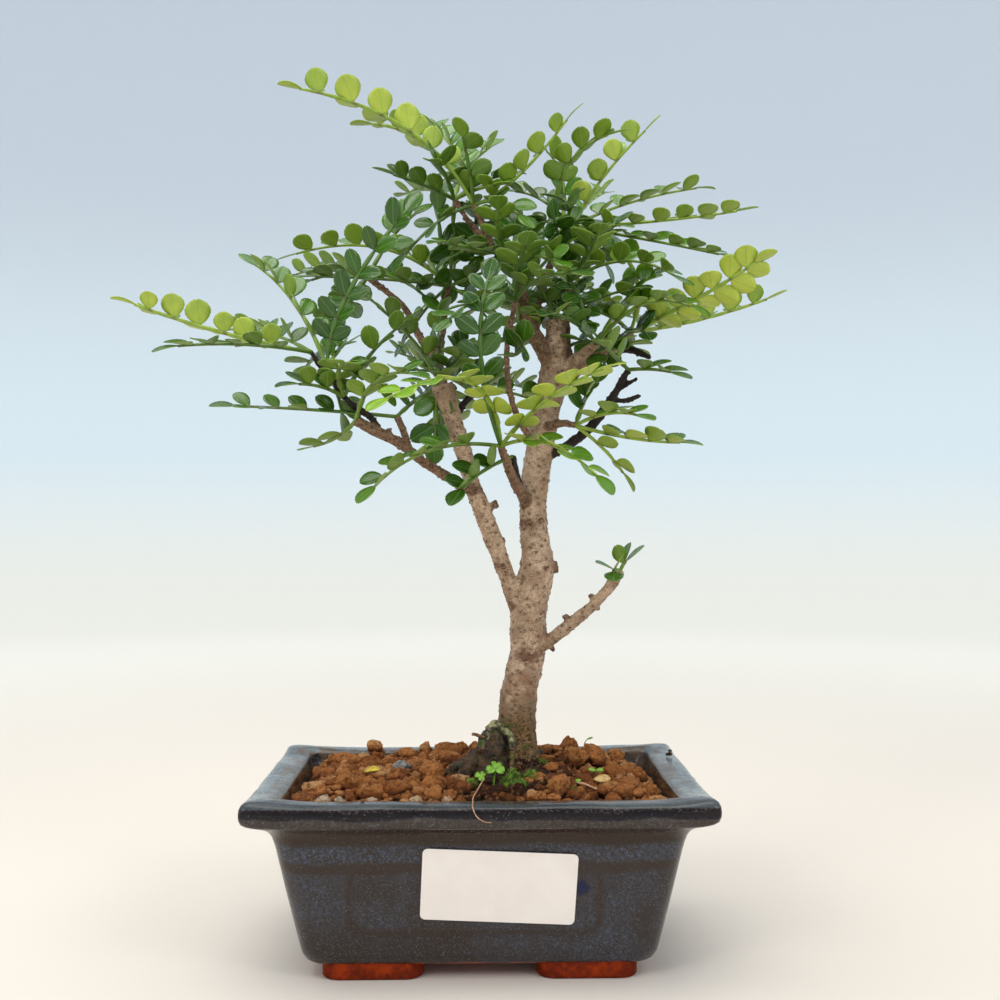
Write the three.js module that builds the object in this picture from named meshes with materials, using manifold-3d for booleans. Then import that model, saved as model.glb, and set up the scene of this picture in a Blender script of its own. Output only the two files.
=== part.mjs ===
// A chinese pepper bonsai in a rectangular glazed pot.
// Millimetres, +Z up, front of the pot towards -Y.
// Points are written from the middle of the pot's footprint, and the whole is centred on its own box at the end.
import * as THREE from 'three';
import { mergeVertices } from 'three/addons/utils/BufferGeometryUtils.js';
import Module from 'manifold-3d';

const wasm = await Module();
wasm.setup();

// Clearance between pieces that touch, and the longest sliver that a join may leave
const GAP = 0.3;
const SLIVER = 0.004;

// Pot: a rounded rectangle whose sections are given by their inset from the rim's edge
const RIM_LENGTH = 150;
const RIM_WIDTH = 105;
const CORNER_STEPS = 3;
const POT_SECTIONS = [
  // inset, height, corner radius: under the pot, up its outside, over the rim and down its inside
  [20.0, 4.8, 6.0], [17.2, 5.8, 8.0], [16.2, 9.0, 9.0], [9.6, 42.0, 9.0], [8.6, 46.0, 9.0],
  [6.6, 49.6, 8.5], [3.2, 52.0, 7.0], [0.5, 52.9, 5.5], [0.0, 54.4, 5.0], [0.0, 59.0, 5.0],
  [1.0, 60.0, 4.5], [9.6, 59.7, 4.0], [11.2, 58.8, 4.0], [13.0, 50.0, 6.0], [20.0, 14.0, 6.0],
  [22.5, 11.0, 5.0],
];
const POT_FLOOR = 11;
const FOOT_SIZE = [33, 14];
const FOOT_CENTRE = [34.9, 27];
const FOOT_TOP = 7;
const FOOT_TAPER = 0.8;
const DRAIN_X = 28;
const DRAIN_RADIUS = 6.5;

// Mesh squares over the drain holes
const MESH_SIDE = 22;
const MESH_THICKNESS = 0.9;
const MESH_HOLES = 3;
const MESH_HOLE = 5;

// Sticker on the front wall, turned a little clockwise
const STICKER_SIZE = [48.5, 23];
const STICKER_THICKNESS = 0.4;
const STICKER_CENTRE = [6.3, 31.4];
const STICKER_TURN = THREE.MathUtils.degToRad(-2.7);
const STICKER_RADIUS = 1.6;

// Granules: a bed of lumps, low at the walls and mounded round the trunk
const BED_EDGE_HEIGHT = 54.6;
const BED_RISE = 6.4;
const BED_SLOPE = 15;
const MOUND_RISE = 3.2;
const MOUND_CENTRE = [10, 3];
const MOUND_REACH = 26;
const LUMP_PITCH = 9.2;
const LUMP_HEIGHT = 2.3;
const LUMP_VARIATION = 1.5;

// Tree: each limb is a row of [x, y, z, radius]
const LIMBS = [
  { sides: 9, points: [[12, 2, 52, 13], [12, 1, 60, 10.5], [13, 1, 66, 7.8], [13, 1, 76, 6.8], [14, 0, 89, 6.4],
    [17, 0, 103, 6.2], [17, 0, 115, 6.3], [18, 0, 124, 6.8], [20, 0, 134, 5.8], [19, 1, 145, 4.9],
    [19, 2, 157, 5.1], [21, 4, 171, 4.9], [23, 5, 184, 5.2], [26, 6, 199, 5.0], [27, 6, 211, 3.8],
    [27, 6, 220, 3.4]] },
  { sides: 7, points: [[17, 0, 116, 3.6], [12, -1, 126, 3.6], [7, -3, 137, 3.2], [4, -5, 147, 3.1],
    [0, -6, 157, 3.3], [-4, -7, 169, 3.5], [-8, -8, 181, 3.6], [-13, -8, 195, 4.0]] },
  { sides: 5, points: [[0, -6, 158, 2.2], [-6, -10, 160, 1.9], [-19, -17, 168, 1.7], [-27, -22, 174, 1.8],
    [-41, -28, 181, 1.8]] },
  { sides: 4, points: [[-24, -20, 172, 1.4], [-26, -20, 179, 1.2], [-28, -20, 183, 1.2]] },
  { sides: 4, points: [[-33, -24, 176, 1.3], [-36, -24, 182, 1.1], [-45, -26, 189, 1.0], [-50, -31, 198, 1.0]] },
  { sides: 4, points: [[-48, -29, 195, 0.9], [-52, -30, 198, 0.9], [-55, -32, 203, 0.8]] },
  { sides: 5, points: [[-12, -7, 192, 2.2], [-15, 0, 204, 1.7], [-21, 6, 213, 1.5], [-28, 12, 226, 1.2],
    [-41, 16, 237, 1.1]] },
  { sides: 4, points: [[-14, -1, 202, 1.4], [-14, 4, 211, 1.4], [-12, 10, 228, 1.2], [-11, 12, 233, 1.0]] },
  { sides: 4, points: [[-8, -8, 181, 1.4], [-7, -4, 187, 1.3], [-2, 0, 193, 1.1]] },
  { sides: 5, points: [[18, 1, 153, 2.4], [12, -10, 161, 1.8], [9, -17, 168, 1.5], [7, -22, 173, 1.3]] },
  { sides: 4, points: [[16, -1, 153, 1.4], [13, -8, 162, 1.4], [11, -14, 170, 1.2]] },
  { sides: 4, points: [[18, 1, 176, 1.4], [11, -12, 189, 1.1], [9, -17, 205, 1.0], [12, -17, 223, 1.0]] },
  { sides: 5, points: [[25, 5, 204, 3.0], [20, 2, 213, 2.8], [16, 0, 220, 2.6], [13, -4, 234, 1.9],
    [4, -6, 245, 1.5], [-2, -6, 258, 1.1]] },
  { sides: 4, points: [[4, -6, 245, 1.2], [-3, -2, 252, 1.1], [-9, 2, 262, 1.0]] },
  { sides: 4, points: [[19, 2, 215, 1.9], [21, 8, 227, 1.7], [28, 18, 247, 1.4], [34, 20, 257, 1.1]] },
  { sides: 6, points: [[25, 6, 197, 4.2], [34, 8, 203, 3.6], [43, 10, 208, 3.2], [50, 12, 211, 2.9],
    [55, 14, 217, 1.7]] },
  { sides: 4, points: [[28, 6, 200, 2.8], [35, 2, 206, 2.1], [41, -4, 210, 1.6]] },
  { sides: 4, points: [[33, 8, 203, 1.8], [31, 7, 215, 1.5], [32, 2, 233, 1.1]] },
  { sides: 4, points: [[50, 12, 211, 1.6], [56, 7, 209, 1.3], [61, 3, 206, 1.0]] },
  { sides: 5, points: [[22, 5, 171, 2.2], [28, 2, 173, 1.8], [38, -3, 180, 1.7], [46, -8, 191, 1.5],
    [51, -12, 200, 1.1]] },
  { sides: 4, points: [[45, -8, 190, 1.1], [51, -6, 190, 1.0], [56, -5, 192, 0.8]] },
  { sides: 4, points: [[47, -9, 193, 1.1], [54, -13, 197, 0.8]] },
  { sides: 4, points: [[22, 3, 181, 1.7], [28, -6, 182, 1.3], [33, -9, 181, 1.1]] },
  { sides: 6, points: [[17, 0, 101, 2.9], [24, -3, 107, 2.4], [31, -6, 113, 2.4], [38, -9, 121, 2.1],
    [46, -12, 129, 1.8], [48, -13, 131, 1.5]] },
  { sides: 5, points: [[12, 0, 71, 3.0], [8, -8, 76, 3.2], [4, -12, 77, 3.3], [0, -15, 73, 3.6],
    [-5, -20, 62, 4.0], [-7, -22, 55, 3.2]] },
  { sides: 4, points: [[5, -12, 77, 1.8], [9, -15, 72, 1.6], [10, -18, 58, 1.6]] },
  { sides: 5, points: [[13, 2, 66, 4.5], [24, 8, 60, 3.2], [32, 13, 54, 2.4]] },
  { sides: 5, points: [[12, 2, 66, 4.5], [2, 10, 60, 3.2], [-6, 16, 54, 2.2]] },
];

// Short pruned stubs and knobs: [x, y, z] on the limb, [x, y, z] at the cut, radius
const STUBS = [
  [[8, -3, 134], [8, -9, 138], 2.2], [[19, 0, 143], [18, -6, 146], 2.0], [[21, 0, 131], [28, 0, 132], 1.6],
  [[27, -5, 110], [25, -8, 114], 1.2], [[33, -7, 116], [32, -8, 120], 1.0], [[35, -8, 118], [38, -11, 117], 1.0],
  [[42, -11, 125], [41, -12, 129], 1.0], [[-30, -23, 175], [-30, -24, 179], 0.9], [[2, -5, 152], [6, -7, 154], 1.4],
  [[45, 10, 209], [46, 8, 213], 1.2], [[38, 9, 205], [37, 4, 207], 1.3],
];

// Compound leaves, gathered in sprays. A spray's shoot is the point where all its leaves meet on a twig.
// A leaf goes from the shoot by a middle point to its tip, with pairs of leaflets on the way.
// top says where the upper face looks, and fold how far the two rows are folded up towards each other.
const UP = [0, 0, 1];
const TO_FRONT = [0, -1, 0.3];
const TO_BACK = [0, 0.8, 0.6];
const SPRAYS = {
  crown: { shoot: [-2, -6, 258], leaves: [
    { by: [-27, -16, 284], to: [-68, -22, 294], pairs: 8, bare: 0.3 },
    { by: [-17, -2, 281], to: [-45, 4, 292], pairs: 6, bare: 0.25 },
    { by: [15, -10, 269], to: [35, -14, 293], pairs: 6 },
    { by: [-9, 18, 284], to: [-21, 42, 302], pairs: 6 }] },
  crown_back: { shoot: [-9, 2, 262], leaves: [
    { by: [-21, -4, 266], to: [-37, -12, 269], pairs: 4 },
    { by: [-19, 30, 273], to: [-32, 58, 278], pairs: 6 },
    { by: [-4, 24, 280], to: [8, 44, 296], pairs: 5 },
    { by: [0, 30, 262], to: [8, 58, 262], pairs: 6 }] },
  right_top: { shoot: [34, 20, 257], leaves: [
    { by: [47, 14, 276], to: [65, 8, 294], pairs: 7 },
    { by: [60, 28, 269], to: [89, 34, 276], pairs: 6 },
    { by: [67, 10, 257], to: [98, 4, 260], pairs: 8 },
    { by: [63, 0, 247], to: [87, -12, 239], pairs: 7 },
    { by: [43, 48, 273], to: [54, 76, 285], pairs: 6 }] },
  right_crown: { shoot: [28, 18, 247], leaves: [
    { by: [31, 4, 274], to: [51, -4, 285], pairs: 6, bare: 0.35 },
    { by: [31, 22, 274], to: [21, 24, 289], pairs: 5, bare: 0.3 }] },
  right_twig: { shoot: [32, 2, 233], leaves: [
    { by: [52, -10, 238], to: [71, -20, 227], pairs: 6 },
    { by: [27, -14, 244], to: [24, -26, 253], pairs: 5, top: TO_FRONT },
    { by: [37, -20, 239], to: [38, -44, 242], pairs: 5 }] },
  right_mid: { shoot: [55, 14, 217], leaves: [
    { by: [56, 6, 236], to: [42, 0, 248], pairs: 6, top: TO_FRONT },
    { by: [44, 26, 230], to: [30, 32, 241], pairs: 5 },
    { by: [77, -10, 226], to: [97, -24, 238], pairs: 6, top: TO_BACK, fold: 10 },
    { by: [82, 14, 222], to: [111, 10, 231], pairs: 7 },
    { by: [70, 44, 226], to: [87, 72, 239], pairs: 6 }] },
  right_high: { shoot: [41, -4, 210], leaves: [
    { by: [56, -24, 221], to: [73, -36, 215], pairs: 5 },
    { by: [30, -26, 215], to: [20, -48, 213], pairs: 5 }] },
  left_tip: { shoot: [-55, -32, 203], leaves: [
    { by: [-85, -38, 209], to: [-116, -42, 219], pairs: 8 },
    { by: [-76, -50, 203], to: [-97, -62, 200], pairs: 6 },
    { by: [-72, -12, 212], to: [-89, 6, 216], pairs: 5 }] },
  left_rise: { shoot: [-50, -31, 198], leaves: [
    { by: [-63, -24, 222], to: [-80, -16, 237], pairs: 6 },
    { by: [-42, -36, 223], to: [-18, -40, 254], pairs: 9, top: TO_FRONT }] },
  left_side: { shoot: [-45, -26, 189], leaves: [
    { by: [-54, -34, 192], to: [-64, -40, 191], pairs: 4 },
    { by: [-45, -40, 198], to: [-36, -54, 202], pairs: 4 }] },
  left_high: { shoot: [-11, 12, 233], leaves: [
    { by: [-38, 6, 246], to: [-72, 2, 240], pairs: 8 },
    { by: [-33, -6, 232], to: [-63, -16, 231], pairs: 6 },
    { by: [-14, 8, 249], to: [-15, 4, 266], pairs: 4 },
    { by: [-23, 42, 248], to: [-38, 70, 259], pairs: 6 }] },
  left_back: { shoot: [-41, 16, 237], leaves: [
    { by: [-57, 34, 244], to: [-76, 50, 243], pairs: 5 },
    { by: [-50, 22, 226], to: [-58, 30, 220], pairs: 4 }] },
  left_low: { shoot: [-41, -28, 181], leaves: [
    { by: [-32, -44, 193], to: [-17, -58, 192], pairs: 4 },
    { by: [-50, -20, 175], to: [-62, -8, 173], pairs: 4 }] },
  left_peg: { shoot: [-28, -20, 183], leaves: [
    { by: [-57, -24, 185], to: [-88, -28, 186], pairs: 6 },
    { by: [-21, 8, 193], to: [-15, 34, 200], pairs: 5 }] },
  front: { shoot: [7, -22, 173], leaves: [
    { by: [-5, -48, 192], to: [-34, -74, 180], pairs: 7 },
    { by: [-18, -38, 170], to: [-37, -50, 154], pairs: 6 },
    { by: [0, -42, 202], to: [4, -38, 231], pairs: 7, top: TO_FRONT, bare: 0.3 },
    { by: [23, -44, 172], to: [40, -58, 157], pairs: 6 },
    { by: [22, -46, 187], to: [42, -62, 196], pairs: 6 }] },
  front_short: { shoot: [11, -14, 170], leaves: [
    { by: [-1, -30, 163], to: [-8, -40, 155], pairs: 3 }] },
  front_thin: { shoot: [9, -17, 205], leaves: [
    { by: [13, -30, 204], to: [14, -38, 212], pairs: 3, top: TO_FRONT }] },
  centre_front: { shoot: [12, -17, 223], leaves: [
    { by: [-1, -38, 219], to: [-13, -54, 207], pairs: 5 },
    { by: [21, -38, 227], to: [33, -58, 223], pairs: 5 },
    { by: [13, -34, 232], to: [15, -50, 237], pairs: 5 }] },
  centre: { shoot: [9, -9, 240], leaves: [
    { by: [-3, -24, 239], to: [-16, -40, 238], pairs: 5 },
    { by: [6, -24, 246], to: [6, -38, 253], pairs: 5 }] },
  right_low: { shoot: [33, -9, 181], leaves: [
    { by: [55, -12, 176], to: [74, -14, 175], pairs: 6 },
    { by: [44, -24, 184], to: [55, -36, 181], pairs: 4 },
    { by: [45, -6, 171], to: [53, -2, 160], pairs: 4 },
    { by: [37, 0, 191], to: [40, 8, 197], pairs: 3 }] },
  right_dark: { shoot: [51, -12, 200], leaves: [
    { by: [60, -20, 199], to: [69, -26, 196], pairs: 4 },
    { by: [44, -24, 204], to: [39, -36, 206], pairs: 3 }] },
  arm_tip: { shoot: [48, -13, 131], leaves: [
    { by: [51, -14, 135], to: [55, -15, 133], pairs: 2 },
    { by: [45, -20, 131], to: [46, -26, 128], pairs: 1 }] },
  back_high: { shoot: [27, 6, 220], leaves: [
    { by: [31, 34, 232], to: [41, 62, 243], pairs: 6 },
    { by: [19, 34, 232], to: [8, 64, 241], pairs: 6 },
    { by: [45, 30, 227], to: [64, 54, 228], pairs: 5 }] },
  left_stem_top: { shoot: [-15, -6, 198], leaves: [
    { by: [-22, 14, 206], to: [-34, 36, 213], pairs: 5 },
    { by: [-8, -20, 202], to: [-3, -30, 206], pairs: 4 }] },
  black_tip: { shoot: [-2, 0, 193], leaves: [
    { by: [-6, 10, 204], to: [-7, 18, 218], pairs: 4 },
    { by: [8, 24, 199], to: [20, 46, 199], pairs: 5 }] },
};
const LEAFLET_LENGTH = 10;
const LEAFLET_WIDTH = 9;
const LEAFLET_SHARE = 0.47;
const LEAFLET_OUTLINE = [[0.42, -0.5], [1, -0.05], [0.5, 0.5]];
const LEAFLET_BASE = 2.2;
const TERMINAL_OUTLINE = [[0.45, 0.5], [1, 0.12], [1, -0.12], [0.45, -0.5]];
const LEAFLET_LEAN = THREE.MathUtils.degToRad(22);
const BLADE_THICKNESS = 0.7;
const RIB_HALF_WIDTH = 0.9;
const DEFAULT_FOLD = 46;
const DEFAULT_BARE = 0.14;
const SHOOT_RADIUS = 2.8;

// Small things on the granules
const CLOVER_STEM = [[4, -27, 56, 0.7], [4, -27, 62, 0.6], [5, -28, 67, 0.5]];
const CLOVER_LEAFLET = [5, 4.4];
const CLOVER_LEAFLETS = 3;
const STONE_CENTRE = [-27, -3, 62.5];
const STONE_SIZE = [4.4, 3.4, 2.8];
const FALLEN_LEAFLETS = { left: [-36, -12, 0.5], right: [41, -25, 2.2] };
const FALLEN_SIZE = [9, 7];

const material = (color, roughness, metalness = 0) => (
  new THREE.MeshStandardMaterial({ color, roughness, metalness })
);
const MATERIALS = {
  glaze: material(0x33415a, 0.22),
  mesh: material(0x1c1d1e, 0.6),
  granules: material(0xa4633a, 0.95),
  bark: material(0xa89a86, 0.85),
  leaf: material(0x3f7a2c, 0.4),
  paper: material(0xf3f2ee, 0.6),
  stone: material(0xaaa59a, 0.9),
  yellow_leaf: material(0xc9b23e, 0.6),
};

const vector = (p) => new THREE.Vector3(p[0], p[1], p[2]);

// A repeatable draw between 0 and 1 for a whole number
function draw(n) {
  const s = Math.sin(n * 12.9898 + 4.1) * 43758.5453;
  return s - Math.floor(s);
}

// Joins and cuts

function solidOf(geometry) {
  const bare = geometry.clone();
  bare.deleteAttribute('normal');
  bare.deleteAttribute('uv');
  const merged = mergeVertices(bare, 1e-4);
  return new wasm.Manifold(new wasm.Mesh({
    numProp: 3,
    vertProperties: new Float32Array(merged.attributes.position.array),
    triVerts: new Uint32Array(merged.index.array),
  }));
}

function geometryOf(solid) {
  const mesh = solid.simplify(SLIVER).getMesh();
  const geometry = new THREE.BufferGeometry();
  geometry.setAttribute('position', new THREE.BufferAttribute(new Float32Array(mesh.vertProperties), 3));
  geometry.setIndex(new THREE.BufferAttribute(new Uint32Array(mesh.triVerts), 1));
  geometry.computeVertexNormals();
  return geometry;
}

function joined(solids) {
  return solids.reduce((whole, solid) => whole.add(solid));
}

function boxOf(solid) {
  const { min, max } = solid.boundingBox();
  return new THREE.Box3(vector(min), vector(max));
}

function largestPiece(solid) {
  return solid.decompose().reduce((best, piece) => (piece.volume() > best.volume() ? piece : best));
}

// Closed skin over a row of rings with equal numbers of points, each ring turning anticlockwise about the way on
function skin(rings) {
  const count = rings[0].length;
  const positions = [];
  const index = [];
  for (const ring of rings) {
    for (const p of ring) {
      positions.push(p.x, p.y, p.z);
    }
  }
  for (let i = 0; i < rings.length - 1; i += 1) {
    for (let j = 0; j < count; j += 1) {
      const next = (j + 1) % count;
      const [a, b] = [i * count + j, i * count + next];
      index.push(a, b, b + count, a, b + count, a + count);
    }
  }
  const last = (rings.length - 1) * count;
  for (let j = 1; j < count - 1; j += 1) {
    index.push(0, j + 1, j);
    index.push(last, last + j, last + j + 1);
  }
  const geometry = new THREE.BufferGeometry();
  geometry.setAttribute('position', new THREE.Float32BufferAttribute(positions, 3));
  geometry.setIndex(index);
  return geometry;
}

// Horizontal rounded rectangle, as a ring of points
function roundedRing(halfLength, halfWidth, height, radius) {
  const ring = [];
  const corners = [[1, -1, -90], [1, 1, 0], [-1, 1, 90], [-1, -1, 180]];
  for (const [sx, sy, start] of corners) {
    for (let k = 0; k <= CORNER_STEPS; k += 1) {
      const angle = THREE.MathUtils.degToRad(start + (90 * k) / CORNER_STEPS);
      ring.push(new THREE.Vector3(
        sx * (halfLength - radius) + radius * Math.cos(angle),
        sy * (halfWidth - radius) + radius * Math.sin(angle),
        height,
      ));
    }
  }
  return ring;
}

function potRing(inset, height, radius) {
  return roundedRing(RIM_LENGTH / 2 - inset, RIM_WIDTH / 2 - inset, height, radius);
}

// Tapered tube through points that carry their radius, flat at both ends
function tube(points, sides, extra = 0) {
  const path = points.map(vector);
  const rings = [];
  let side = new THREE.Vector3(1, 0.2, 0);
  const along = new THREE.Vector3();
  path.forEach((point, i) => {
    const before = path[Math.max(i - 1, 0)];
    const after = path[Math.min(i + 1, path.length - 1)];
    along.subVectors(after, before).normalize();
    side = side.clone().addScaledVector(along, -side.dot(along)).normalize();
    const up = new THREE.Vector3().crossVectors(along, side);
    const centre = point.clone();
    if (i === 0) {
      centre.addScaledVector(along, -extra);
    }
    if (i === path.length - 1) {
      centre.addScaledVector(along, extra);
    }
    const radius = points[i][3] + extra;
    const ring = [];
    for (let k = 0; k < sides; k += 1) {
      const angle = (2 * Math.PI * k) / sides;
      ring.push(centre.clone()
        .addScaledVector(side, radius * Math.cos(angle))
        .addScaledVector(up, radius * Math.sin(angle)));
    }
    rings.push(ring);
  });
  return skin(rings);
}

// Thin closed blade over an open sheet of triangles: each point is moved both ways along its normal
function blade(points, normals, triangles, half) {
  const positions = [];
  for (const side of [1, -1]) {
    points.forEach((p, i) => {
      positions.push(
        p.x + normals[i].x * half * side,
        p.y + normals[i].y * half * side,
        p.z + normals[i].z * half * side,
      );
    });
  }
  const under = points.length;
  const edges = new Set();
  for (const [a, b, c] of triangles) {
    edges.add(`${a}>${b}`).add(`${b}>${c}`).add(`${c}>${a}`);
  }
  const index = [];
  for (const [a, b, c] of triangles) {
    index.push(a, b, c, under + a, under + c, under + b);
    for (const [from, to] of [[a, b], [b, c], [c, a]]) {
      if (!edges.has(`${to}>${from}`)) {
        index.push(under + from, under + to, to, under + from, to, from);
      }
    }
  }
  const geometry = new THREE.BufferGeometry();
  geometry.setAttribute('position', new THREE.Float32BufferAttribute(positions, 3));
  geometry.setIndex(index);
  return geometry;
}

// One compound leaf: a flat winged rib with leaflets in pairs and one at its end, all in one blade.
// extra swells it on every side, for the room that its neighbours leave it.
function compoundLeaf(shoot, leaf, seed, extra = 0) {
  const start = vector(shoot);
  const middle = vector(leaf.by);
  const tip = vector(leaf.to);
  const bend = middle.clone().multiplyScalar(2).addScaledVector(start, -0.5).addScaledVector(tip, -0.5);
  const curve = new THREE.QuadraticBezierCurve3(start, bend, tip);
  const reach = curve.getLength();
  const pairs = Math.max(1, Math.round(leaf.pairs * LEAFLET_SHARE));
  const bare = leaf.bare ?? DEFAULT_BARE;
  const fold = THREE.MathUtils.degToRad(leaf.fold ?? DEFAULT_FOLD);
  const face = vector(leaf.top ?? UP);
  const endShare = 1 - (0.75 * LEAFLET_LENGTH) / reach;
  const pitch = (endShare - bare) / pairs;
  const width = Math.min(LEAFLET_WIDTH, pitch * reach * 0.92);
  const baseShare = (LEAFLET_BASE + 2 * extra) / reach;

  const points = [];
  const normals = [];
  const triangles = [];
  const add = (point, normal) => {
    points.push(point);
    normals.push(normal);
    return points.length - 1;
  };
  const frameAt = (t) => {
    const centre = curve.getPoint(t);
    const along = curve.getTangent(t);
    const up = face.clone().addScaledVector(along, -face.dot(along)).normalize();
    const right = new THREE.Vector3().crossVectors(along, up);
    return { centre, along, up, right };
  };
  const ribAt = (t) => {
    const { centre, up, right } = frameAt(t);
    const half = RIB_HALF_WIDTH + extra;
    const left = add(centre.clone().addScaledVector(right, -half), up);
    return [left, add(centre.clone().addScaledVector(right, half), up)];
  };
  const leaflet = (t, side, size, from, to) => {
    const { centre, along, up, right } = frameAt(t);
    const angle = fold + (draw(seed) - 0.5) * 0.35;
    const outward = right.clone().multiplyScalar(side * Math.cos(angle)).addScaledVector(up, Math.sin(angle));
    const normal = up.clone().multiplyScalar(Math.cos(angle)).addScaledVector(right, -side * Math.sin(angle));
    const lengthwise = outward.clone().multiplyScalar(Math.cos(LEAFLET_LEAN))
      .addScaledVector(along, Math.sin(LEAFLET_LEAN));
    const across = along.clone().multiplyScalar(Math.cos(LEAFLET_LEAN))
      .addScaledVector(outward, -Math.sin(LEAFLET_LEAN));
    const outer = LEAFLET_OUTLINE.map(([far, wide]) => add(
      centre.clone().addScaledVector(lengthwise, RIB_HALF_WIDTH + far * size * LEAFLET_LENGTH + extra)
        .addScaledVector(across, wide * (size * width + 2 * extra)),
      normal,
    ));
    const [rear, end, front] = outer;
    if (side > 0) {
      triangles.push([to, from, rear], [to, rear, front], [front, rear, end]);
    } else {
      triangles.push([from, to, front], [from, front, rear], [rear, front, end]);
    }
  };

  let previous = ribAt(-extra / reach);
  const ribTo = (t) => {
    const next = ribAt(t);
    triangles.push([previous[0], previous[1], next[1]], [previous[0], next[1], next[0]]);
    const from = previous;
    previous = next;
    return [from, next];
  };
  for (let i = 0; i < pairs; i += 1) {
    const t = bare + pitch * (i + 0.5);
    const size = 0.82 + 0.18 * Math.sin((Math.PI * (i + 1)) / (pairs + 1)) + (draw(seed + i) - 0.5) * 0.1;
    ribTo(t - baseShare / 2);
    const [from, to] = ribTo(t + baseShare / 2);
    leaflet(t, -1, size, from[0], to[0]);
    leaflet(t, 1, size, from[1], to[1]);
  }
  ribTo(endShare);
  const { centre, along, up, right } = frameAt(endShare);
  const outer = TERMINAL_OUTLINE.map(([far, wide]) => add(
    centre.clone().addScaledVector(along, far * LEAFLET_LENGTH + extra)
      .addScaledVector(right, wide * (LEAFLET_WIDTH * 0.85 + 2 * extra)),
    up,
  ));
  triangles.push([previous[0], previous[1], outer[0]], [previous[0], outer[0], outer[3]]);
  triangles.push([outer[3], outer[0], outer[1]], [outer[3], outer[1], outer[2]]);
  return blade(points, normals, triangles, BLADE_THICKNESS / 2 + extra);
}

function shootBud(shoot, extra = 0) {
  const bud = new THREE.OctahedronGeometry(SHOOT_RADIUS + extra, 0);
  bud.translate(shoot[0], shoot[1], shoot[2]);
  return bud;
}

// Pot

function footGeometry(x, y) {
  const [length, width] = FOOT_SIZE;
  const at = (height, shrink) => roundedRing(length / 2 - shrink, width / 2 - shrink, height, width / 2 - 1 - shrink)
    .map((p) => p.add(new THREE.Vector3(x, y, 0)));
  return skin([at(0, FOOT_TAPER), at(1, 0), at(FOOT_TOP, 0)]);
}

function makePot() {
  let pot = solidOf(skin(POT_SECTIONS.map((section) => potRing(...section))));
  for (const sx of [-1, 1]) {
    for (const sy of [-1, 1]) {
      pot = pot.add(solidOf(footGeometry(sx * FOOT_CENTRE[0], sy * FOOT_CENTRE[1])));
    }
    const drill = new THREE.CylinderGeometry(DRAIN_RADIUS, DRAIN_RADIUS, 3 * POT_FLOOR, 16);
    drill.rotateX(Math.PI / 2);
    drill.translate(sx * DRAIN_X, 0, POT_FLOOR / 2);
    pot = pot.subtract(solidOf(drill));
  }
  return geometryOf(pot);
}

function makeDrainMesh(x) {
  const pitch = MESH_SIDE / MESH_HOLES;
  const opening = new THREE.BoxGeometry(MESH_HOLE, MESH_HOLE, 3 * MESH_THICKNESS);
  let sheet = solidOf(new THREE.BoxGeometry(MESH_SIDE, MESH_SIDE, MESH_THICKNESS));
  for (let i = 0; i < MESH_HOLES; i += 1) {
    for (let j = 0; j < MESH_HOLES; j += 1) {
      const hole = opening.clone();
      hole.translate(pitch * (i + 0.5) - MESH_SIDE / 2, pitch * (j + 0.5) - MESH_SIDE / 2, 0);
      sheet = sheet.subtract(solidOf(hole));
    }
  }
  const geometry = geometryOf(sheet);
  geometry.translate(x, 0, POT_FLOOR + GAP + MESH_THICKNESS / 2);
  return geometry;
}

// The front wall leans out: its foot and head, for the sticker that lies on it
function wallFrame() {
  const [low, high] = [POT_SECTIONS[2], POT_SECTIONS[3]];
  const rise = new THREE.Vector3(0, low[0] * -1 + high[0], high[1] - low[1]).normalize();
  const share = (STICKER_CENTRE[1] - low[1]) / (high[1] - low[1]);
  const inset = low[0] + (high[0] - low[0]) * share;
  return { rise, y: -(RIM_WIDTH / 2 - inset) };
}

function makeSticker() {
  const [length, height] = STICKER_SIZE;
  const [halfX, halfY, r] = [length / 2, height / 2, STICKER_RADIUS];
  const outline = new THREE.Shape();
  outline.moveTo(-halfX + r, -halfY);
  outline.lineTo(halfX - r, -halfY);
  outline.quadraticCurveTo(halfX, -halfY, halfX, -halfY + r);
  outline.lineTo(halfX, halfY - r);
  outline.quadraticCurveTo(halfX, halfY, halfX - r, halfY);
  outline.lineTo(-halfX + r, halfY);
  outline.quadraticCurveTo(-halfX, halfY, -halfX, halfY - r);
  outline.lineTo(-halfX, -halfY + r);
  outline.quadraticCurveTo(-halfX, -halfY, -halfX + r, -halfY);
  const sheet = new THREE.ExtrudeGeometry(outline, {
    depth: STICKER_THICKNESS, bevelEnabled: false, curveSegments: 3,
  });
  const { rise, y } = wallFrame();
  const sideways = new THREE.Vector3(1, 0, 0);
  const outward = new THREE.Vector3().crossVectors(sideways, rise);
  sheet.rotateZ(STICKER_TURN);
  sheet.applyMatrix4(new THREE.Matrix4().makeBasis(sideways, rise, outward));
  sheet.translate(STICKER_CENTRE[0], y, STICKER_CENTRE[1]);
  sheet.translate(outward.x * GAP, outward.y * GAP, outward.z * GAP);
  return sheet;
}

// Granules

function bedHeight(x, y) {
  const toWall = Math.min(RIM_LENGTH / 2 - 13 - Math.abs(x), RIM_WIDTH / 2 - 13 - Math.abs(y));
  const rise = THREE.MathUtils.smoothstep(toWall, 0, BED_SLOPE);
  const away = Math.hypot(x - MOUND_CENTRE[0], y - MOUND_CENTRE[1]) / MOUND_REACH;
  return BED_EDGE_HEIGHT + BED_RISE * rise + MOUND_RISE * Math.exp(-away * away);
}

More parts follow.
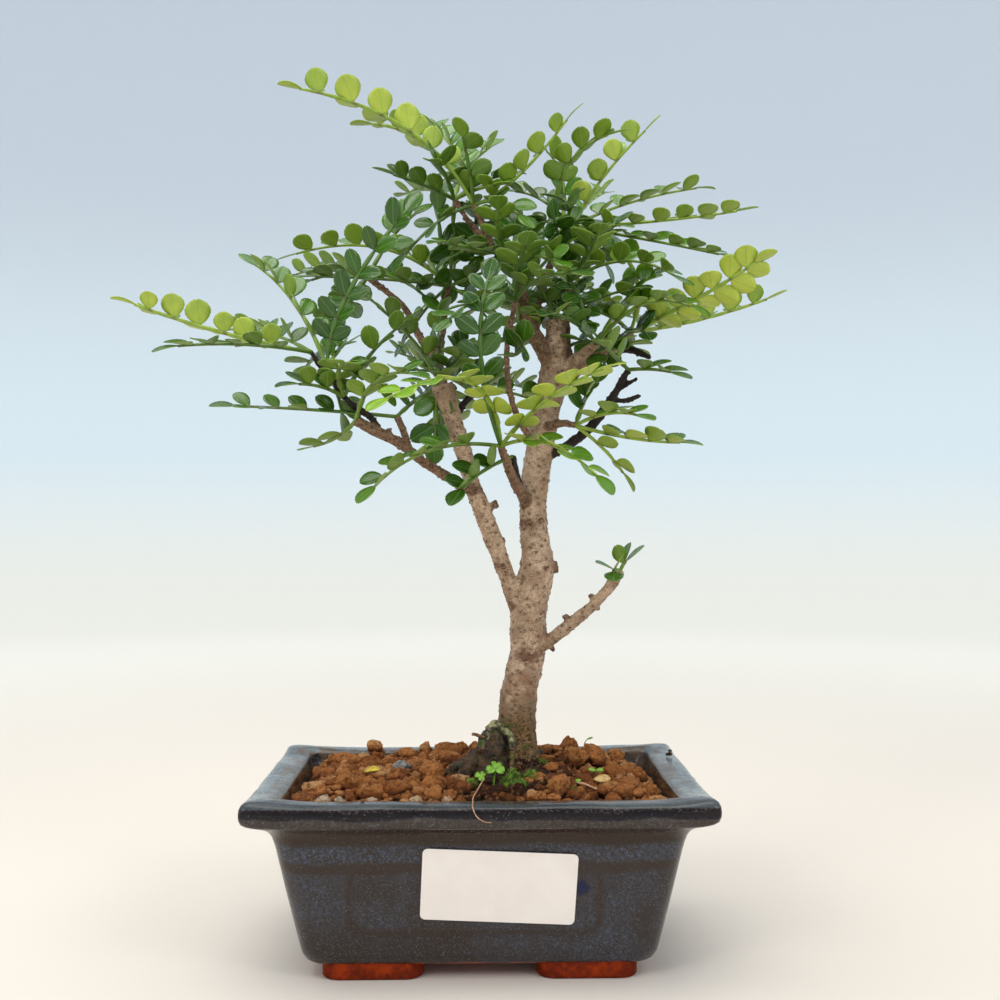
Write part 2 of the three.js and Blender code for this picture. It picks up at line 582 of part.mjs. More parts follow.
// Lumps stand on a jittered six-sided pattern: each has a raised top, and sinks to the hollows between its neighbours
function makeSoil(rooms) {
  const columns = Math.ceil(RIM_LENGTH / LUMP_PITCH) + 2;
  const rows = Math.ceil(RIM_WIDTH / (LUMP_PITCH * 0.866)) + 2;
  const tops = [];
  for (let j = 0; j < rows; j += 1) {
    for (let i = 0; i < columns; i += 1) {
      const n = j * columns + i;
      const inner = i > 0 && j > 0 && i < columns - 1 && j < rows - 1;
      const jitter = inner ? LUMP_PITCH * 0.5 : 0;
      const x = (i - columns / 2 + (j % 2) / 2) * LUMP_PITCH + (draw(3 * n) - 0.5) * jitter;
      const y = (j - rows / 2 + 0.5) * LUMP_PITCH * 0.866 + (draw(3 * n + 1) - 0.5) * jitter;
      tops.push(new THREE.Vector3(x, y, bedHeight(x, y) + LUMP_VARIATION * (draw(3 * n + 2) - 0.5)));
    }
  }
  const points = [...tops];
  const index = [];
  const at = (i, j) => j * columns + i;
  const border = [];
  for (let j = 0; j < rows - 1; j += 1) {
    for (let i = 0; i < columns - 1; i += 1) {
      const [a, b, c, d] = [at(i, j), at(i + 1, j), at(i + 1, j + 1), at(i, j + 1)];
      const cells = j % 2 === 0 ? [[a, b, d], [b, c, d]] : [[a, b, c], [a, c, d]];
      for (const cell of cells) {
        const hollow = new THREE.Vector3();
        cell.forEach((k) => hollow.addScaledVector(tops[k], 1 / 3));
        hollow.z -= LUMP_HEIGHT;
        points.push(hollow);
        const h = points.length - 1;
        index.push(cell[0], cell[1], h, cell[1], cell[2], h, cell[2], cell[0], h);
      }
    }
  }
  for (let i = 0; i < columns - 1; i += 1) {
    border.push(at(i, 0));
  }
  for (let j = 0; j < rows - 1; j += 1) {
    border.push(at(columns - 1, j));
  }
  for (let i = columns - 1; i > 0; i -= 1) {
    border.push(at(i, rows - 1));
  }
  for (let j = rows - 1; j > 0; j -= 1) {
    border.push(at(0, j));
  }
  const first = points.length;
  border.forEach((k) => points.push(new THREE.Vector3(points[k].x, points[k].y, 0)));
  border.forEach((k, n) => {
    const next = (n + 1) % border.length;
    index.push(k, first + n, first + next, k, first + next, border[next]);
  });
  points.push(new THREE.Vector3(0, 0, 0));
  border.forEach((k, n) => {
    index.push(first + ((n + 1) % border.length), first + n, points.length - 1);
  });
  const heap = new THREE.BufferGeometry();
  heap.setAttribute('position', new THREE.Float32BufferAttribute(points.flatMap((p) => p.toArray()), 3));
  heap.setIndex(index);

  const [rim, wall, heel, floor] = POT_SECTIONS.slice(-4);
  const room = [
    potRing(floor[0] + GAP, floor[1] + GAP, floor[2]),
    potRing(heel[0] + GAP, heel[1], heel[2]),
    potRing(wall[0] + GAP, wall[1], wall[2]),
    potRing(rim[0] + 2 * GAP, rim[1], rim[2]),
    potRing(rim[0] + 2 * GAP, rim[1] + 20, rim[2]),
  ];
  let soil = solidOf(heap).intersect(solidOf(skin(room))).subtract(rooms);
  for (const x of [-DRAIN_X, DRAIN_X]) {
    const side = MESH_SIDE + 2 * GAP;
    const pocket = new THREE.BoxGeometry(side, side, 2 * (MESH_THICKNESS + 2 * GAP));
    pocket.translate(x, 0, POT_FLOOR);
    soil = soil.subtract(solidOf(pocket));
  }
  return largestPiece(soil);
}

// Tree

function makeTree(extra) {
  const limbs = LIMBS.map(({ points, sides }) => solidOf(tube(points, sides, extra)));
  const stubs = STUBS.map(([from, to, radius]) => (
    solidOf(tube([[...from, radius * 1.25], [...to, radius]], 4, extra))
  ));
  return joined([...limbs, ...stubs]);
}

// Sprays: each is cut clear of the wood, and of the sprays made before it

function makeSprays(treeRoom) {
  const made = [];
  let seed = 1;
  for (const [name, { shoot, leaves }] of Object.entries(SPRAYS)) {
    const build = (extra) => joined([
      solidOf(shootBud(shoot, extra)),
      ...leaves.map((leaf, i) => solidOf(compoundLeaf(shoot, leaf, seed + 20 * i, extra))),
    ]);
    let spray = build(0).subtract(treeRoom);
    for (const other of made) {
      if (boxOf(spray).intersectsBox(other.box)) {
        spray = spray.subtract(other.room).subtract(other.body);
      }
    }
    const body = largestPiece(spray);
    const room = build(GAP);
    made.push({ name, body, room, box: boxOf(room) });
    seed += 100;
  }
  return made;
}

// Small things on the granules

// A loose leaflet: a six-cornered blade that lies along X from the origin
function leafletBlade(length, width, extra = 0) {
  const half = width / 2 + extra;
  const corners = [[-extra, -0.6], [0.35 * length, -half], [0.8 * length, -0.7 * half],
    [length + extra, 0], [0.8 * length, 0.7 * half], [0.35 * length, half], [-extra, 0.6]];
  const points = corners.map(([x, y]) => new THREE.Vector3(x, y, 0));
  const normals = points.map(() => vector(UP));
  const triangles = [];
  for (let i = 1; i < points.length - 1; i += 1) {
    triangles.push([0, i, i + 1]);
  }
  return blade(points, normals, triangles, BLADE_THICKNESS / 2 + extra);
}

function makeClover(extra) {
  const head = vector(CLOVER_STEM.at(-1));
  const leaflets = [];
  for (let k = 0; k < CLOVER_LEAFLETS; k += 1) {
    const leaflet = leafletBlade(...CLOVER_LEAFLET, extra);
    leaflet.rotateY(-0.25);
    leaflet.rotateZ((2 * Math.PI * k) / CLOVER_LEAFLETS + 0.4);
    leaflet.translate(head.x, head.y, head.z);
    leaflets.push(solidOf(leaflet));
  }
  return joined([solidOf(tube(CLOVER_STEM, 4, extra)), ...leaflets]);
}

function makeStone(extra) {
  const stone = new THREE.IcosahedronGeometry(1, 0);
  stone.scale(...STONE_SIZE.map((size) => size + extra));
  stone.rotateX(0.4);
  stone.rotateZ(0.5);
  stone.translate(...STONE_CENTRE);
  return solidOf(stone);
}

// Lies just clear of the highest lumps under it
function makeFallenLeaflet(soilGeometry, [x, y, turn]) {
  const position = soilGeometry.attributes.position;
  let top = 0;
  for (let i = 0; i < position.count; i += 1) {
    if (Math.hypot(position.getX(i) - x, position.getY(i) - y) < FALLEN_SIZE[0]) {
      top = Math.max(top, position.getZ(i));
    }
  }
  const leaflet = leafletBlade(...FALLEN_SIZE);
  leaflet.translate(-FALLEN_SIZE[0] / 2, 0, 0);
  leaflet.rotateZ(turn);
  leaflet.translate(x, y, top + GAP + BLADE_THICKNESS / 2);
  return leaflet;
}

const model = new THREE.Group();

function place(name, geometry, finish) {
  const mesh = new THREE.Mesh(geometry, finish);
  mesh.name = name;
  model.add(mesh);
}

const treeRoom = makeTree(GAP);
const soilGeometry = geometryOf(makeSoil(joined([treeRoom, makeClover(GAP), makeStone(GAP)])));

place('pot', makePot(), MATERIALS.glaze);
place('drain_mesh_left', makeDrainMesh(-DRAIN_X), MATERIALS.mesh);
place('drain_mesh_right', makeDrainMesh(DRAIN_X), MATERIALS.mesh);
place('soil', soilGeometry, MATERIALS.granules);
place('tree', geometryOf(makeTree(0)), MATERIALS.bark);
place('sticker', makeSticker(), MATERIALS.paper);
place('clover_seedling', geometryOf(makeClover(0)), MATERIALS.leaf);
place('grey_stone', geometryOf(makeStone(0)), MATERIALS.stone);
for (const [name, where] of Object.entries(FALLEN_LEAFLETS)) {
  place(`fallen_leaflet_${name}`, makeFallenLeaflet(soilGeometry, where), MATERIALS.yellow_leaf);
}
for (const { name, body } of makeSprays(treeRoom)) {
  place(`spray_${name}`, geometryOf(body), MATERIALS.leaf);
}

// The origin is the middle of the whole object's box, at the level of the feet
const box = new THREE.Box3().setFromObject(model);
const middle = box.getCenter(new THREE.Vector3());
model.position.set(-middle.x, -middle.y, -box.min.z);

export default model;
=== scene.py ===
"""A chinese pepper bonsai in a glazed pot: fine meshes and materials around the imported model.

Rows of numbers are millimetres from the middle of the pot's footprint, as in the part's own source.
"""
import math
import random

import bmesh
import bpy
import numpy as np
from mathutils import Matrix, Vector, kdtree, noise


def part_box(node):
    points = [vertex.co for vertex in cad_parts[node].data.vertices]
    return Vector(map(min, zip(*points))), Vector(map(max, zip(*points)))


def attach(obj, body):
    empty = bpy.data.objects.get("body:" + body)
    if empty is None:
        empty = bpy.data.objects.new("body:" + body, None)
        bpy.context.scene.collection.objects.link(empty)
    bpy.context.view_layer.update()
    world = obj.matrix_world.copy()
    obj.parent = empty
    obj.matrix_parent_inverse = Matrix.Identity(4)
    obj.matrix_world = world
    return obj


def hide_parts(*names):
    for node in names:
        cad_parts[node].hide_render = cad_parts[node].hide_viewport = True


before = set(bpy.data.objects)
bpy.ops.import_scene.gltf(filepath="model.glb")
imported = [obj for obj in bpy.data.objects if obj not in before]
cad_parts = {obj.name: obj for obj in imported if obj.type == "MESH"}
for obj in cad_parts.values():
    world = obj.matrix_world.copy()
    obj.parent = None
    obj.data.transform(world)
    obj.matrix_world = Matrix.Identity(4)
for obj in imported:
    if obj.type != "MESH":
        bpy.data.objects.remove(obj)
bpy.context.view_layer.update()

MM = 0.001
BODY = "root"

POT_LOW, POT_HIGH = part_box("pot")
MIDDLE = Vector(((POT_LOW.x + POT_HIGH.x) / 2, (POT_LOW.y + POT_HIGH.y) / 2, POT_LOW.z))

# Light of the world, glow of the floor and of the wall behind, and where the photograph was taken from
WORLD_LIGHT = 0.88
FLOOR_GLOW = 0.15
WALL_GLOW = 0.06
CAMERA_AT = (-2.4, -436.5, 148.0)
CAMERA_PITCH = 0.97
CAMERA_YAW = -1.25
CAMERA_LENS = 44.64
SENSOR = 36.0
# Lamps: place and aim in metres, size, power and colour
LAMPS = {
    "overhead": ((-0.12, -0.10, 1.1), (0, 0, 0.10), 1.1, 9.8, (1.0, 0.98, 0.95)),
    "front_left": ((-0.9, -1.0, 0.9), (0, 0, 0.15), 0.5, 5, (1.0, 0.97, 0.93)),
    "front_right": ((0.9, -0.8, 0.8), (0, 0, 0.15), 0.5, 3.6, (0.97, 0.98, 1.0)),
}
# Floor and wall, in metres
FLOOR_RADIUS = 1.3
FLOOR_CURVE = 0.9
WALL_TOP = 2.6
FLOOR_GAP = 0.00005
FLOOR_SIDES = 96

# Pot: a rounded rectangle, in sections of inset from the rim's edge, height and corner radius
RIM_LENGTH = 150.0
RIM_WIDTH = 105.0
POT_SECTIONS = [
    (21.0, 4.8, 6.0), (19.4, 5.0, 7.0), (18.0, 5.9, 8.0), (17.0, 7.4, 9.0), (16.3, 9.6, 9.0),
    (12.9, 25.5, 9.0), (9.6, 42.0, 9.0), (8.6, 46.0, 9.0), (7.9, 48.0, 8.8), (6.6, 49.8, 8.5),
    (4.8, 51.2, 7.8), (2.6, 52.1, 7.0), (1.0, 52.8, 6.2), (0.3, 53.6, 4.8), (0.0, 54.8, 4.2),
    (0.0, 56.6, 4.0), (0.15, 57.9, 4.0), (0.7, 59.1, 4.0), (1.7, 59.8, 4.0), (3.0, 60.0, 4.0),
    (6.0, 59.9, 4.2), (9.2, 59.6, 4.0), (10.4, 59.1, 4.0), (11.1, 58.3, 4.0), (11.5, 57.0, 4.4),
    (13.0, 50.0, 6.0), (20.0, 14.0, 6.0), (21.0, 12.0, 5.5), (22.5, 11.0, 5.0),
]
PROFILE_STEP = 1.2
RING_SPACING = 1.5
RING_CORNER_STEPS = 9
# The rim's corners are drawn out to a blunt point and turn up a little
CORNER_PULL = 0.28
CORNER_LIFT = 1.1
CORNER_REACH = 9.0
RIM_SWAY = 0.55
WALL_SWAY = 0.25
# Bands of the glaze, as lowest and highest point
UPPER_BROWN = (46.4, 52.0)
BLUE = (40.5, 45.8)
LOWER_BROWN = (36.8, 40.2)
LIP = (52.4, 55.6)
RIM_EDGE = (55.6, 59.4)
# Painted glints: pinkish-white specks along the top of the rim's edge stand in for a broken highlight line
GLINT_BAND = (58.0, 59.4)
# Middle of the dark blue drop beside the sticker
BLOT = (32.4, 31.5)
DRAIN_X = 28.0
DRAIN_CUT_TO = 22.0
DRAIN_SIDES = 40
# Steps round each corner of a foot and of the sticker
OUTLINE_STEPS = 6
FOOT_FLAT = 1.2
DRAIN_RADIUS = 6.5
FOOT_SIZE = (33.0, 14.0)
FOOT_CENTRE = (34.9, 27.0)
# Levels of a foot: height, and how far the outline shrinks there
FOOT_LEVELS = [(0.0, 0.9), (0.25, 0.35), (0.9, 0.0), (4.6, 0.0), (7.0, 0.3)]
# Soft frame on the long walls: middle and half size, radius of its corners
PANEL = (-1.7, 27.2, 40.0, 10.6)
PANEL_RADIUS = 5.0
PANEL_RIDGE = 0.55
PANEL_SINK = 0.3
# The frame is only on the walls beyond this y, and between these heights
PANEL_BEYOND = 30
PANEL_FOOT = 7
PANEL_HEAD = 48

STICKER_SIZE = (49.3, 24.2)
STICKER_CENTRE = (5.9, 32.0)
STICKER_CORNER = 1.7
STICKER_TURN = math.radians(-2.7)
STICKER_THICKNESS = 0.25
STICKER_LIFT = 0.5

# Ground: the bed between the granules, and how far it and the granules stay from the rim's edge
BED_INSET = 12.2
WALL_INSET = 13.0
GRANULE_INSET = 13.4
BED_GRID = (130, 88)
BED_BOTTOM = 50.0
BED_TAPER = 0.985
BED_CORNER = 5
BED_SINK = 2.2
PATCH_LIFT = 1.6
BED_EDGE_HEIGHT = 54.6
BED_RISE = 6.4
BED_FRONT_RISE = 3.2
BED_SLOPE = 15.0
TRUNK_FOOT = (12, 1)
TRUNK_CLEARANCE = 8.5
# Mounds: x, y, rise, reach
MOUNDS = [(10.0, 3.0, 2.6, 26.0), (12.0, -1.0, 3.4, 13.0), (-16.0, 19.0, 2.6, 15.0),
          (32.0, 19.0, 2.8, 14.0), (27.0, -30.0, 1.2, 9.0)]
PATCH_CENTRE = (11.0, -15.0)
PATCH_RADII = (22.0, 25.0)
# Granules that stand out: x, y, height or 0 to lie on the bed, radius, shade from dark -0.5 to crusty 1
SINGLE_LUMPS = [
    (-38, 23, 62.4, 3.8, 0.6), (-38.7, 23.3, 65.0, 2.9, 0.75), (-20, 22, 63.4, 3.6, 0.7),
    (-13.5, 22, 64.0, 4.0, 0.6), (-7, 21, 64.4, 3.8, 0.55), (-53, 5, 0, 3.8, 0.3), (-28, -15, 0, 4.6, 0.2),
    (-16, -15, 0, 5.2, 0.55), (-6, -21, 0, 3.6, 0.9), (25.5, -30, 0, 5.6, 0.6), (41, 17, 0, 4.6, 0.5),
    (24, 12, 65.6, 3.2, 0.6), (18, 12, 65.8, 2.2, 0.6), (28.5, 13, 65.0, 2.3, 0.5), (50, 17, 0, 4.0, 0.45),
    (17, -33, 0, 2.6, 0.85), (54, 0, 0, 4.6, 0.3), (46, -10, 0, 4.8, 0.25), (-10.6, -36, 0, 2.2, 0.93),
    (-24, -37, 0, 2.0, 0.88), (-50.5, -36, 0, 2.8, 0.95), (-44.6, -36, 0, 2.4, 0.97),
    (-35, -36, 0, 2.8, 0.95), (-20.6, -37, 0, 2.5, 0.93), (56, -22, 0, 4.2, 0.35), (47, -30, 0, 4.2, 0.3),
    (19, -22, 0, 3.4, 0.6), (-45, 14, 0, 3.8, 0.5), (33, 22, 0, 4.4, 0.5), (-1, 22, 63.6, 3.4, 0.7),
    (19.5, -35, 0, 3.0, 0.6), (23.5, -36, 0, 2.2, 0.5), (24, -12, 63.4, 3.0, 0.55),
    (34.6, 0, 64, 4.2, 0.5), (41, 3, 63.4, 5.2, 0.45), (-27, 19, 62.4, 3.6, 0.5), (-44, -24, 0, 3.8, 0.35),
    (-32, 6, 0, 3.6, 0.25), (-12, 6, 0, 3.8, 0.5),
]
# The other granules: largest and smallest radius, number, subdivisions and share of clear room
GRANULE_CLASSES = [
    (4.8, 3.4, 46, 3, 0.70), (3.2, 2.0, 300, 3, 0.66), (1.9, 1.2, 800, 2, 0.58), (1.2, 0.7, 1100, 2, 0.5),
]
GRANULE_TRIES = 25
LUMP_CUTS = 8
# Side of the squares that find a granule's neighbours
CELL = 6
STONE_AT = (-27, -3, 62.0)
STONE_RADIUS = 3.0
STRAY_CRUMBS = [(-37, -46, 60.4, 0.7, 0.4), (-17.6, -44, 60.5, 0.8, 0.1), (71.2, 27.6, 60.7, 1.1, -0.5),
                (71.4, 27.4, 62.0, 0.8, -0.4), (70.4, 28.6, 60.5, 0.7, -0.4), (-62, 31, 60.6, 0.6, 0.6)]
# Moss: x, y, height of the foot, reach, rise and number of tufts
MOSS_CUSHIONS = [(9.4, -26, 60.4, 2.9, 3.2, 130), (13.2, -27, 60.2, 2.7, 2.2, 110),
                 (10.9, -24, 61.3, 2.5, 4.0, 90), (17.0, -22, 62.4, 2.2, 2.0, 90),
                 (-2.5, -26, 60.8, 2.2, 1.4, 70), (21, -6, 64.0, 3.2, 0.6, 50),
                 (7, -12, 64.5, 3.4, 0.8, 60), (31, -30, 59.6, 2.6, 0.4, 30)]
HANGING_ROOT = [(1.6, -26, 62.5, 0.24), (0.9, -31, 63.4, 0.22), (-1.0, -37, 61.6, 0.21),
                (-2.3, -43, 60.6, 0.2), (-2.4, -49, 60.5, 0.2), (-2.5, -52.8, 60.0, 0.19),
                (-1.4, -53.8, 57.4, 0.17), (1.0, -53.8, 55.6, 0.15), (3.2, -53.8, 55.3, 0.11)]
FALLEN_ROOT = [(30, -25.5, 61.6, 0.25), (33.5, -28, 61.8, 0.38), (38, -31.5, 60.6, 0.3)]
CLOVER_STEMS = [[(4, -27, 56, 0.34), (4.4, -27.2, 61, 0.28), (5, -28, 66.4, 0.24)],
                [(3.6, -27, 57, 0.3), (1.5, -27, 61, 0.26), (0.2, -27, 64, 0.22)]]
# Three leaflets on one stem: where they meet, their turns, way up, length and width
CLOVER_LEAVES = [((5, -28, 66.4), (-20, 80, 195), (0.1, -0.8, 1), 3.3, 3.4),
                 ((0.2, -27, 64), (40, 165, 285), (-0.2, -0.7, 1), 2.1, 2.2)]
WEED_STEMS = [[(38.8, -15, 58, 0.24), (39, -15.3, 61, 0.22), (39.3, -15.5, 63.4, 0.2)],
              [(38.5, 20, 62, 0.22), (38.6, 20, 66, 0.2), (39.6, 20, 67.8, 0.17)]]
# Single blades: base, way along, way up, length and width
WEED_BLADES = [((39.3, -15.5, 63.4), (1, -0.1, 0.1), (0, -0.4, 1), 2.6, 2.2),
               ((39.3, -15.5, 63.4), (-1, -0.1, 0.15), (0, -0.4, 1), 2.6, 2.2),
               ((39.6, 20, 67.8), (1, 0, 0.3), (-0.3, -0.6, 0.8), 2.2, 0.8),
               ((30.5, -26.2, 61.9), (1, -0.3, 0.25), (0, -0.6, 1), 3.0, 1.3)]
BLADE_ALONG = 8
BLADE_ACROSS = 4
BLADE_THICKNESS = 0.3
TUFT_SPIKES = 4
SPIKE_LENGTH = (1.0, 2.0)
SPIKE_RADIUS = 0.22
THREAD_COUNT = 60
THREAD_POINTS = 5
THREAD_STEP = 1.8
SEEDS = {"granules": 7, "strays": 3, "stone": 21, "moss": 11, "threads": 5}

# Tree: each limb is a finish and a row of x, y, z, radius
GREY, TAN, BROWN, BLACK, MOSSY, PEATY = 0.0, 0.15, 0.45, 1.0, -1.0, -0.5
LIMBS = [
    (GREY, [(12, 2, 52, 13), (12, 1, 60, 10.5), (13, 1, 66, 7.8), (13, 1, 76, 6.8), (14, 0, 89, 6.4),
            (17, 0, 103, 6.2), (17, 0, 115, 6.3), (18.6, 0, 124, 6.4), (20.3, 0, 134, 5.7), (19, 1, 145, 4.9),
            (19, 2, 157, 5.1), (21, 4, 171, 4.9), (23, 5, 184, 5.2), (26, 6, 199, 5.0), (27, 6, 211, 3.8),
            (27, 6, 220, 3.4)]),
    (GREY, [(16.5, 0, 113, 4.2), (11.8, -1, 123, 3.4), (9.4, -2, 129, 3.0), (6.4, -3, 137, 3.0),
            (3, -4, 146, 3.2), (-0.5, -5.5, 155, 3.1), (-3.4, -6.5, 163, 2.8), (-6, -7, 173, 2.9),
            (-9.6, -8, 184, 3.2), (-13, -8, 195, 3.9)]),
    (BROWN, [(0, -6, 158, 2.2), (-6, -10, 160, 1.9), (-19, -17, 168, 1.7), (-27, -22, 174, 1.8),
             (-41, -28, 181, 1.8)]),
    (BROWN, [(-24, -20, 172, 1.4), (-26, -20, 179, 1.2), (-28, -20, 183, 1.2)]),
    (BLACK, [(-33, -24, 176, 1.3), (-36, -24, 182, 1.1), (-45, -26, 189, 1.0), (-50, -31, 198, 1.0)]),
    (BLACK, [(-48, -29, 195, 0.9), (-52, -30, 198, 0.9), (-55, -32, 203, 0.8)]),
    (BROWN, [(-12, -7, 192, 2.2), (-15, 0, 204, 1.7), (-21, 6, 213, 1.5), (-28, 12, 226, 1.2),
             (-41, 16, 237, 1.1)]),
    (BROWN, [(-14, -1, 202, 1.4), (-14, 4, 211, 1.4), (-12, 10, 228, 1.2), (-11, 12, 233, 1.0)]),
    (BLACK, [(-8, -8, 181, 1.4), (-7, -4, 187, 1.3), (-2, 0, 193, 1.1)]),
    (BROWN, [(18, 1, 153, 2.4), (12, -10, 161, 1.8), (9, -17, 168, 1.5), (7, -22, 173, 1.3)]),
    (BLACK, [(16, -1, 153, 1.4), (13, -8, 162, 1.4), (11, -14, 170, 1.2)]),
    (BROWN, [(18, 1, 176, 1.4), (11, -12, 189, 1.1), (9, -17, 205, 1.0), (12, -17, 223, 1.0)]),
    (BROWN, [(25, 5, 204, 3.0), (20, 2, 213, 2.8), (16, 0, 220, 2.6), (13, -4, 234, 1.9),
             (4, -6, 245, 1.5), (-2, -6, 258, 1.1)]),
    (BROWN, [(4, -6, 245, 1.2), (-3, -2, 252, 1.1), (-9, 2, 262, 1.0)]),
    (BROWN, [(19, 2, 215, 1.9), (21, 8, 227, 1.7), (28, 18, 247, 1.4), (34, 20, 257, 1.1)]),
    (GREY, [(25, 6, 197, 4.2), (34, 8, 203, 3.6), (43, 10, 208, 3.2), (50, 12, 211, 2.9),
            (55, 14, 217, 1.7)]),
    (GREY, [(28, 6, 200, 2.8), (35, 2, 206, 2.1), (41, -4, 210, 1.6)]),
    (BROWN, [(33, 8, 203, 1.8), (31, 7, 215, 1.5), (32, 2, 233, 1.1)]),
    (BLACK, [(50, 12, 211, 1.6), (56, 7, 209, 1.3), (61, 3, 206, 1.0)]),
    (BLACK, [(22, 5, 171, 2.2), (28, 2, 173, 1.8), (38, -3, 180, 1.7), (46, -8, 191, 1.5),
             (51, -12, 200, 1.1)]),
    (BLACK, [(45, -8, 190, 1.1), (51, -6, 190, 1.0), (56, -5, 192, 0.8)]),
    (BLACK, [(47, -9, 193, 1.1), (54, -13, 197, 0.8)]),
    (BROWN, [(22, 3, 181, 1.7), (28, -6, 182, 1.3), (33, -9, 181, 1.1)]),
    (TAN, [(17, 0, 100.5, 2.6), (24, -3, 106, 2.3), (31, -6, 111.7, 2.1), (38, -9, 118, 1.9),
           (43, -11, 123.5, 1.8), (46.5, -12.5, 128, 1.8), (48, -13, 131, 1.5)]),
    (PEATY, [(5.2, -12, 77.6, 1.9), (4.5, -13.5, 73, 3.6), (3, -15, 67, 5.2), (1, -16.5, 58, 7.2)]),
    (PEATY, [(5.6, -13.5, 77.6, 1.2), (5.6, -15.5, 73.5, 2.6), (4.8, -17, 69, 3.6), (4, -18, 62, 4.6)]),
    (PEATY, [(6.4, -11.5, 76, 2.0), (7.6, -12.5, 71, 3.6), (7.6, -13.5, 64, 4.8), (7.4, -14, 56, 5.8)]),
    (PEATY, [(-1, -15.5, 68, 2.8), (-6, -14, 63, 3.8), (-13, -10, 57, 3.8)]),
    (MOSSY, [(5.4, -13, 79.2, 1.3), (3.2, -14.5, 77.4, 1.5), (1.6, -16, 74.8, 1.5), (0.2, -17.4, 72, 1.5)]),
    (PEATY, [(0.2, -17.4, 72, 1.4), (-1.8, -19, 69.5, 1.6), (-5, -21, 64.5, 2.0), (-7.4, -22.4, 58, 2.4)]),
    (MOSSY, [(5.4, -13, 79.2, 1.3), (8.3, -15.5, 77.7, 1.3), (10.6, -16.5, 74.6, 1.4), (11.3, -17, 72, 1.4)]),
    (TAN, [(11.3, -17, 72, 1.1), (10.7, -18.5, 67.5, 0.8), (10.8, -19, 62, 0.8)]),
    (BROWN, [(1.4, -17, 75, 0.6), (-1.4, -18, 76.2, 0.5), (-2.8, -18.4, 76.4, 0.9)]),
    (PEATY, [(13, 2, 66, 4.5), (24, 8, 60, 3.2), (32, 13, 54, 2.4)]),
    (PEATY, [(12, 2, 66, 4.5), (2, 10, 60, 3.2), (-6, 16, 54, 2.2)]),
]
# Short pruned stubs and knobs: on the limb, at the cut, radius
STUBS = [
    ((8.2, -3.4, 131), (8.3, -6.4, 132.4), 1.0), ((17.6, 0, 146.5), (17, -5.4, 148), 1.0),
    ((20, 0, 146.5), (21.6, -5.0, 148.4), 0.9), ((19.5, 0, 130.6), (27.6, -0.5, 131.9), 2.2),
    ((6.2, -2.5, 139.5), (8.6, -4, 141.4), 0.8), ((30.6, -6, 111.6), (29.8, -7, 115.4), 1.15),
    ((39.4, -9.5, 119.6), (37.9, -10, 122.8), 1.05), ((39.5, -10, 119), (41.2, -10.5, 117.4), 0.6),
    ((24, -3, 104.6), (25.8, -5, 103.0), 0.8), ((45, -12, 127), (43.5, -13, 130), 0.8),
    ((-30, -23, 175), (-30, -24, 179), 0.9), ((2, -5, 152), (6, -7, 154), 1.4),
    ((45, 10, 209), (46, 8, 213), 1.2), ((38, 9, 205), (37, 4, 207), 1.3),
]
BARK_VOXEL = 0.5
BARK_SOFTENING = 3
BARK_NEIGHBOURS = 16
BARK_RELIEF = 0.28
WART_RELIEF = 0.9
MOSSY_RELIEF = 0.9
# The trunk is mossy round this height
MOSSY_HEIGHT = 58
MOSSY_REACH = 16
# Rusty marks on the bark: x, height and reach
RUSTY_SPOTS = [(19.7, 101.5, 6.5), (18.6, 146.5, 4.5), (8.2, 132.0, 3.6), (12.4, 118.0, 4.2),
               (26.6, 131.5, 2.6)]

# Compound leaves: each spray has a shoot where its leaves meet, and each leaf goes by a middle point to its
# tip. The next number is its tint, from 0, dark and old, to 1, young and yellow-green.
UP = (0, 0, 1)
TO_FRONT = (0, -1, 0.3)
TO_BACK = (0, 0.8, 0.6)
LEANING = (0, 0.5, 0.8)
TOWARD = (0, -0.35, 0.9)
# What a leaf has unless its row says otherwise: bare share of its stalk, fold in degrees, pitch of its pairs
PLAIN_LEAF = {"bare": 0.14, "top": UP, "fold": 46, "pitch": 8.3, "size": 1.0}


def leaf(by, to, tint, **more):
    """One compound leaf's row."""
    return {**PLAIN_LEAF, "by": by, "to": to, "tint": tint, **more}


